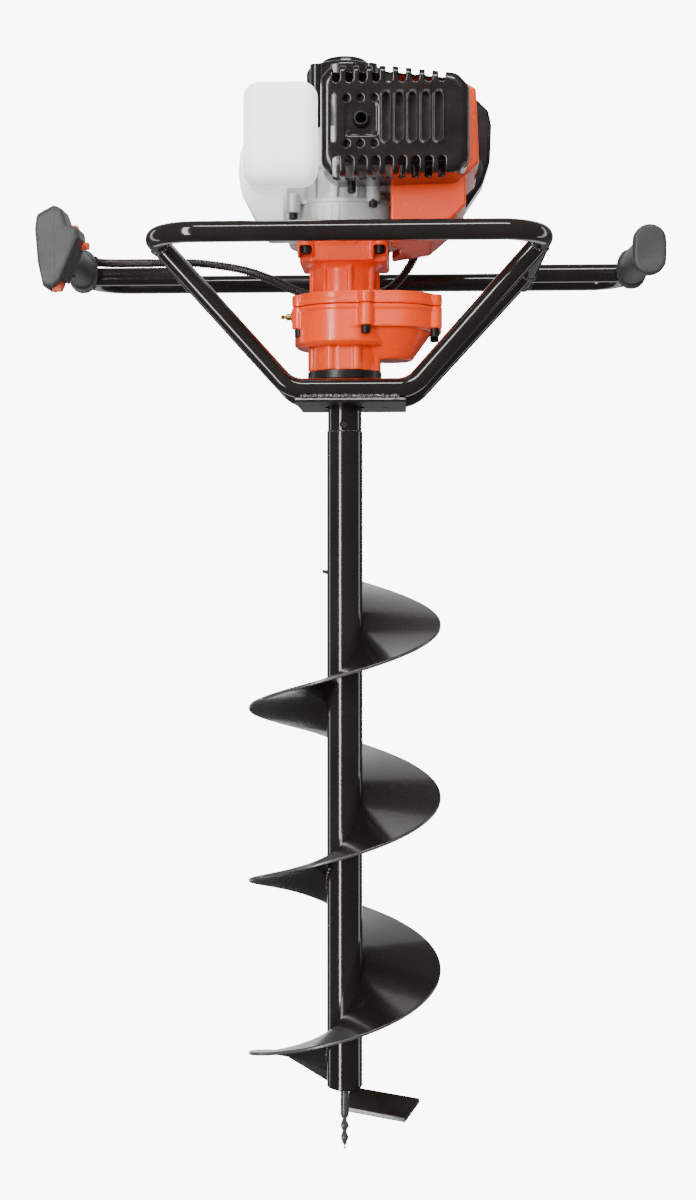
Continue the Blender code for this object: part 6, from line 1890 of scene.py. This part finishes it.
@dataclass
class EngineBlock:
    """Fan housing, crankcase, cylinder, shroud and the recoil starter."""

    fasteners: Fasteners
    fan_r: float = 0.058
    fan_wall: float = 0.003
    fan_top_z: float = 0.047
    bell_top_z: float = 0.011
    crankcase_r: float = 0.044
    crankcase_top_z: float = 0.128
    cylinder_x: float = 0.052
    cylinder_end_x: float = 0.114
    cylinder_z: float = 0.092
    fin_r: float = 0.037
    fin_count: int = 8
    shroud_left_x: float = 0.0485
    starter_r: float = 0.040
    hub_r: float = 0.025
    shoulder_z: float = 0.1965
    starter_top_z: float = 0.205
    rope_z: float = 0.150

    def fan_housing(self) -> None:
        """The housing round the flywheel fan."""
        low, r, top = self.bell_top_z + GAP, self.fan_r, self.fan_top_z
        shell = turned(
            [(0.034, low), (r - 0.003, low), (r - 0.0009, low + 0.0009), (r, low + 0.003), (r, top - 0.004),
             (r, top), (r - self.fan_wall, top), (r - self.fan_wall, low + 0.0035), (0.034, low + 0.0035)],
            steps=112,
        )
        for spot in rectangle((-0.0375, -0.0435), (0.0375, 0.0435)):
            join(shell, disc(0.0075, low, low + 0.003, spot, steps=40))
        for n in range(24):
            rib = box((r - 0.0008, -0.0009, low + 0.004), (r + 0.0007, 0.0009, top - 0.001), 0.0003, 2)
            join(shell, swung(rib, 180 + 7.5 * (n - 11.5)))
        cut(shell, box((0.036, -0.034, low + 0.006), (0.08, 0.034, top + 0.01)))
        stand_in(shell, "fan_housing", degrees=35)

    def crankcase(self) -> None:
        """The crankcase, melted as a casting, with its flange, pads and screw pillars."""
        low, top, r, z = self.fan_top_z + GAP, self.crankcase_top_z, self.crankcase_r, self.cylinder_z
        body = disc(r, low, top, steps=96)
        flange = disc(self.fan_r - 0.0005, low, low + 0.005, steps=96)
        pad = box((0.010, -0.030, z - 0.030), (self.cylinder_x - GAP, 0.030, z + 0.030), 0.003)
        tank_pad = box((-0.060, -0.0165, 0.0495), (-0.021, 0.0155, 0.120), 0.0025)
        rim = cut(disc(r + 0.0016, 0.0860, 0.0900, steps=96), disc(r - 0.002, 0.08, 0.10, steps=96))
        join(body, flange, pad, tank_pad, rim)
        for degrees in (198, 232, 262, 288):
            web = box((r - 0.003, -0.0012, low + 0.003), (r + 0.0036, 0.0012, 0.087), 0.0006, 2)
            join(body, swung(web, degrees))
        x, y = 0.031, -0.046
        join(
            body,
            disc(0.0075, low + 0.001, 0.078, (x, y), steps=40),
            box((x - 0.0048, y + 0.0013, low + 0.002), (x + 0.0048, -0.0292, 0.0762)),
            disc(0.0070, 0.038, 0.0576, (-0.0500, -0.0455), steps=40),
            box((-0.052, -0.044, low + 0.0005), (-0.036, -0.030, low + 0.0045)),
        )
        cast(body, 0.0011, 4)
        cut(
            body,
            disc(self.fan_r - 0.0024, 0.03, low, steps=96),
            box((self.cylinder_x - GAP, -0.05, 0.05), (0.08, 0.05, 0.14)),
            disc(0.0088, low - 0.01, top + 0.01, steps=48),
        )
        stand_in(body, "crankcase", degrees=42)

    def cylinder(self) -> None:
        """The finned cylinder, with thin fins and its exhaust and inlet ports."""
        start_x, end_x, z, r = self.cylinder_x, self.cylinder_end_x, self.cylinder_z, self.fin_r
        profile = [(0, start_x), (0.031, start_x), (0.031, start_x + 0.005)]
        pitch = (end_x - start_x - 0.010) / self.fin_count
        for n in range(self.fin_count):
            x = start_x + 0.006 + pitch * n
            profile += [(0.025, x), (r - 0.0005, x + 0.0006), (r, x + 0.0010), (r, x + 0.0016),
                        (r - 0.0005, x + 0.0020), (0.025, x + 0.0026)]
        profile += [(0.025, end_x - 0.003), (0.020, end_x), (0, end_x)]
        body = turned(profile, (0, z), "X", 72)
        join(body, disc(0.012, -0.040, 0, (0.086, z), "Y", 48), disc(0.012, 0, 0.040, (0.083, z), "Y", 48))
        cut(
            body,
            disc(0.007, -0.06, -0.010, (0.086, z), "Y", 32),
            disc(0.007, 0.010, 0.06, (0.083, z), "Y", 32),
            disc(0.0046, end_x - 0.009, end_x + 0.01, (0, z), "X", 32),
        )
        stand_in(body, "cylinder")

    def shroud_outline(self, inset: float = 0.0) -> list[Point]:
        """The shroud's outline seen from the front."""
        left, w = self.shroud_left_x, inset
        return [
            (left, 0.0050 + w), (0.089, 0.0115 + w), (0.1155 - w * 0.5, 0.0340 + w * 0.5),
            (0.1240 - w, 0.0430), (0.1240 - w, 0.0720), (0.1370 - w, 0.0845),
            (0.1340 - w, 0.1580 - w * 0.5), (0.1165 - w * 0.5, 0.1690 - w), (left, 0.1690 - w),
        ]

    def shroud(self) -> None:
        """The painted air shroud, with soft corners and its openings."""
        front, back, wall = -0.062, 0.052, 0.0025
        radii = [0, 0.006, 0.004, 0.003, 0.003, 0.004, 0.005, 0.005, 0]
        shell = eased(prism(rounded(self.shroud_outline(), radii, 8), front, back, axis="Y"), 0.0032, 5, 60)
        hollow = [(u - 0.02 if u == self.shroud_left_x else u, v) for u, v in self.shroud_outline(wall)]
        exhaust = rounded(rectangle((0.058, 0.070), (0.112, 0.148)), 0.004, 6)
        intake = rounded(rectangle((0.066, 0.074), (0.101, 0.110)), 0.004, 6)
        cut(
            shell,
            prism(hollow, front + wall, back - wall, axis="Y"),
            disc(self.fan_r + 0.0006, -0.02, self.fan_top_z + 0.012, steps=96),
            prism(exhaust, -0.09, -0.04, axis="Y"),
            prism(intake, 0.03, 0.09, axis="Y"),
            disc(0.0125, 0.12, 0.16, (0, self.cylinder_z + 0.002), "X", 56),
        )
        for n in range(5):
            slot = slot_outline((-0.002, 0.120 + 0.008 * n), 0.0018, 0.018, math.pi / 2, 8)
            cut(shell, prism(slot, 0.125, 0.15, axis="X"))
        stand_in(shell, "cylinder_shroud", degrees=30)

    def starter(self) -> None:
        """The recoil starter's domed cover, with lobes, slots and the rope's guide."""
        low, r, hub, rope = self.crankcase_top_z + GAP, self.starter_r, self.hub_r, self.rope_z
        shoulder, top = self.shoulder_z, self.starter_top_z
        rim = [polar(0.006, a, (r - 0.006, shoulder - 0.006)) for a in quarter(8)[1:]]
        crown = [polar(0.005, a, (hub - 0.005, top - 0.005)) for a in quarter(8)]
        step = [(hub + 0.003, shoulder), (hub + 0.0008, shoulder + 0.0012)]
        body = turned([(0, low), (r, low), (r, shoulder - 0.006)] + rim + step + crown + [(0, top)], steps=96)
        for degrees in (45, 135, 225, 315):
            spot = polar(r - 0.001, math.radians(degrees))
            join(body, disc(0.0070, low, shoulder - 0.003, spot, steps=40))
        join(body, box((-0.009, r - 0.006, rope - 0.008), (0.009, r + 0.006, rope + 0.008), 0.002, 4))
        cut(
            body,
            disc(r - 0.004, low - 0.01, rope + 0.014, steps=96),
            disc(0.0026, 0.02, r + 0.02, (0, rope), "Y", 32),
        )
        for n in range(8):
            slot = prism(slot_outline((r - 0.0075, 0.0), 0.0022, 0.0062, steps=8), rope + 0.01, shoulder + 0.01)
            cut(body, swung(slot, 22.5 + 45 * n))
        groove = [(hub - 0.008, top + 0.001), (hub - 0.0086, top - 0.0009), (hub - 0.0092, top + 0.001)]
        cut(body, turned(groove, steps=96))
        stand_in(eased(body, 0.0006, 2, 55), "starter_cover", look=GLOSS_PLASTIC, degrees=40)

    def rope(self) -> None:
        """The starter's rope: the short straight piece that shows at rest, the remainder being wound up inside.
        """
        r, near, far, z = 0.0020, self.starter_r - 0.0035, self.starter_r + 0.0062, self.rope_z
        side = [(r, near + (far - near) * n / 32) for n in range(33)]
        line = turned([(0.0, near)] + side + [(0.0, far)], (0, z), "Y", 24)
        ends = ("pull_handle", (0.0, near, z), (0.0, far, z))
        dress(line, "starter_rope", "frame", Surface.BLACK_PLASTIC, look=ROPE_BRAID, degrees=50, across=ends)

    def small_parts(self) -> None:
        """The starter's handle and the pieces seen through the openings, with softened edges."""
        widths = {
            "starter_handle": 0.0006, "carburettor": 0.0006, "throttle_lever": 0.0003, "choke_lever": 0.0005,
            "flywheel": 0.0003,
        }
        for node, width in widths.items():
            stand_in(eased(smoothed(node), width, 2, 50), node)

    def plug(self) -> None:
        """The spark plug and its boot."""
        x, spot = self.cylinder_end_x, (0, self.cylinder_z)
        plug = [
            (0, x - 0.0085), (0.0043, x - 0.0085), (0.0043, x + GAP), (0.0085, x + GAP), (0.0085, x + 0.006),
            (0.0048, x + 0.007), (0.0042, x + 0.018), (0, x + 0.018),
        ]
        stand_in(turned(plug, spot, "X", 40), "spark_plug")
        boot = [
            (0, x + 0.0184), (0.0046, x + 0.0184), (0.0053, x + 0.0080), (0.0086, x + 0.0078),
            (0.0092, x + 0.0090), (0.0098, x + 0.012), (0.0097, x + 0.020), (0.0092, x + 0.0245),
            (0.0080, x + 0.0268), (0.0060, x + 0.0284), (0.0035, x + 0.029), (0, x + 0.029),
        ]
        stand_in(turned(boot, spot, "X", 56), "spark_plug_boot")

    def screws(self) -> None:
        """The screws under the two pillars."""
        spots = [(-0.0500, -0.0455, 0.0381), (0.031, -0.0521, 0.0484)]
        self.fasteners.place("pillar_screws", hex_head(0.0042, 0.0060), spots, (180, 0, 0))

    def build(self) -> None:
        """Make the engine's main pieces."""
        self.fan_housing()
        self.crankcase()
        self.cylinder()
        self.shroud()
        self.starter()
        self.rope()
        self.small_parts()
        self.plug()
        self.screws()


@dataclass
class AirFilter:
    """The air filter's base plate and its domed cover behind the engine."""

    front_y: float = 0.099
    back_y: float = 0.142

    def outline(self, inset: float = 0.0) -> list[Point]:
        """The cover's outline seen from the front, drawn in by an inset."""
        corners = [
            (0.0500 + inset, 0.0700 + inset), (0.1280 - inset * 0.5, 0.0700 + inset), (0.1480 - inset, 0.1000),
            (0.1560 - inset, 0.1250), (0.1575 - inset, 0.1640), (0.1540 - inset, 0.1800),
            (0.1400 - inset * 0.5, 0.1940 - inset), (0.0500 + inset, 0.1940 - inset),
        ]
        return rounded(corners, [0.008, 0.006, 0.01, 0.01, 0.006, 0.006, 0.01, 0.01], 8)

    def section(self, level: float, inset: float) -> list[Vector]:
        """The outline at a depth."""
        return [Vector((u, level, v)) for u, v in self.outline(inset)]

    def build(self) -> None:
        """Make the plate and the cover, whose back edge is well rounded."""
        front, back, spot = self.front_y, self.back_y, (0.083, 0.092)
        base = prism(self.outline(0.0035), front, front + 0.006, axis="Y")
        cut(base, disc(0.0080, front - 0.01, front + 0.02, spot, "Y", 48))
        join(base, disc(0.0028, front - 0.0050, front + 0.002, (0.1220, 0.0850), "Y", 32))
        stand_in(eased(base, 0.0005, 2, 50), "air_filter_base", degrees=40)
        outer, inner = [self.section(front + 0.001, 0)], [self.section(front - 0.01, 0.0032)]
        for a in quarter(8):
            depth, inset = 0.010 * math.sin(a), 1 - math.cos(a)
            outer.append(self.section(back - 0.010 + depth, 0.010 * inset))
            inner.append(self.section(back - 0.0128 + depth, 0.0032 + 0.0085 * inset))
        cover = cut(loft(outer), loft(inner))
        for n in range(4):
            slot = slot_outline((0.105, 0.152 - 0.012 * n), 0.0017, 0.020, math.pi / 2, 8)
            cut(cover, prism(slot, back - 0.02, back + 0.01, axis="Y"))
        stand_in(eased(cover, 0.0004, 2, 55), "air_filter_cover", look=GLOSS_PLASTIC, degrees=45)


@dataclass(frozen=True)
class Studio:
    """A pale floor, soft lights all round and the camera of the photograph."""

    floor_z: float = -0.927
    floor_half: float = 5.0
    lens: float = 46.05
    eye: tuple[float, float, float] = (0.0702, -1.5984, -0.291)
    bearing: float = 2.6
    shift: tuple[float, float] = (0.0046, -0.0517)
    backdrop: float = 9.0
    ambient: float = 0.14

    def floor(self) -> None:
        """Lay the flat pale floor under the screw's point."""
        half = self.floor_half
        shell = bmesh.new()
        corners = rectangle((-half, -half), (half, half))
        shell.faces.new([shell.verts.new((x, y, self.floor_z)) for x, y in corners])
        ground = form_of(shell)
        ground.name = "studio_floor"
        bench = Bench("studio_floor_finish")
        glow = bench.blend(bench.node("ShaderNodeLightPath"), (0.0, 0.0, 0.0), (1.0, 1.0, 1.0))
        pale = bench.paint(
            Base_Color=(0.20, 0.20, 0.20), Roughness=0.9, Emission_Color=glow, Emission_Strength=9.0
        )
        ground.data.materials.append(pale)
        ground.visible_glossy = False
        ground.visible_shadow = False

    def lamp(
        self, name: str, place: tuple, aim: tuple, size: tuple[float, float], power: float,
        mirrored: bool = True,
    ) -> None:
        """Hang one soft lamp.

        Args: name, the lamp's name. place, its centre. aim, the point that it faces. size, its sides in
            metres. power, in watts. mirrored, whether glossy surfaces show it.
        """
        data = bpy.data.lights.new(name, "AREA")
        data.shape = "RECTANGLE"
        data.size, data.size_y = size
        data.energy = power
        lamp = bpy.data.objects.new(name, data)
        lamp.location = place
        lamp.rotation_euler = (Vector(aim) - Vector(place)).to_track_quat("-Z", "Y").to_euler()
        lamp.visible_glossy = mirrored
        lamp.visible_camera = False
        bpy.context.scene.collection.objects.link(lamp)

    def light(self) -> None:
        """Set the white surroundings and the lamps."""
        world = bpy.data.worlds.new("studio_white")
        world.use_nodes = True
        graph = Graph(world.node_tree)
        seen = graph.node("ShaderNodeLightPath")
        backdrop = world.node_tree.nodes["Background"]
        backdrop.inputs["Color"].default_value = (1.0, 1.0, 1.0, 1.0)
        strength = seen * (self.backdrop - self.ambient) + self.ambient
        world.node_tree.links.new(strength.socket, backdrop.inputs["Strength"])
        bpy.context.scene.world = world
        self.lamp("key_lamp", (-1.13, -2.12, -0.1), (0, 0, -0.1), (0.48, 3.6), 82.0)
        self.lamp("right_lamp", (2.2, 0.8, -0.2), (0, 0, -0.2), (0.35, 3.0), 9.0)
        self.lamp("left_lamp", (-2.2, 0.9, -0.2), (0, 0, -0.2), (0.35, 3.0), 9.0)
        self.lamp("back_lamp", (0.0, 2.4, 1.1), (0, 0, -0.4), (2.6, 2.2), 17.0)
        self.lamp("bounce_lamp", (0.0, 2.2, -1.4), (0, 0, -0.6), (2.6, 1.1), 10.0)
        self.lamp("top_lamp", (0.0, 0.2, 3.2), (0, 0.2, -1.0), (3.0, 3.0), 90.0, mirrored=False)
        self.lamp("brow_lamp", (0.3, -1.9, 2.3), (0, 0, -0.1), (1.8, 0.4), 44.0)
        self.lamp("wash_lamp", (0.5, -2.4, 0.3), (0, 0, 0), (1.4, 1.0), 38.0, mirrored=False)

    def camera(self) -> None:
        """Place the camera where the photograph was taken from."""
        data = bpy.data.cameras.new("photo_camera")
        data.sensor_fit = "AUTO"
        data.sensor_width = 36.0
        data.lens = self.lens
        data.shift_x, data.shift_y = self.shift
        data.clip_start = 0.05
        camera = bpy.data.objects.new("photo_camera", data)
        camera.location = self.eye
        camera.rotation_euler = (math.radians(90), 0, math.radians(self.bearing))
        bpy.context.scene.collection.objects.link(camera)
        bpy.context.scene.camera = camera

    def build(self) -> None:
        """Make all of it."""
        self.floor()
        self.light()
        self.camera()


def remaining() -> None:
    """Dress a smoothed copy of each CAD node that no finer piece stands for."""
    for node in sorted(frame["nodes"]):
        if node not in SHOWN:
            stand_in(smoothed(node), node)


def main() -> None:
    """Build and dress the auger."""
    logging.basicConfig(level=logging.INFO, format="%(message)s")
    Studio().build()
    welder, fasteners = Welder(), Fasteners()
    ScrewBit(welder).build()
    CarryingFrame(welder, fasteners).build()
    Gearbox(fasteners).build()
    Grips().build()
    ThrottleConduit().build()
    MufflerGuard(fasteners).build()
    FuelTank().build()
    EngineBlock(fasteners).build()
    AirFilter().build()
    remaining()


if __name__ == "__main__":
    main()
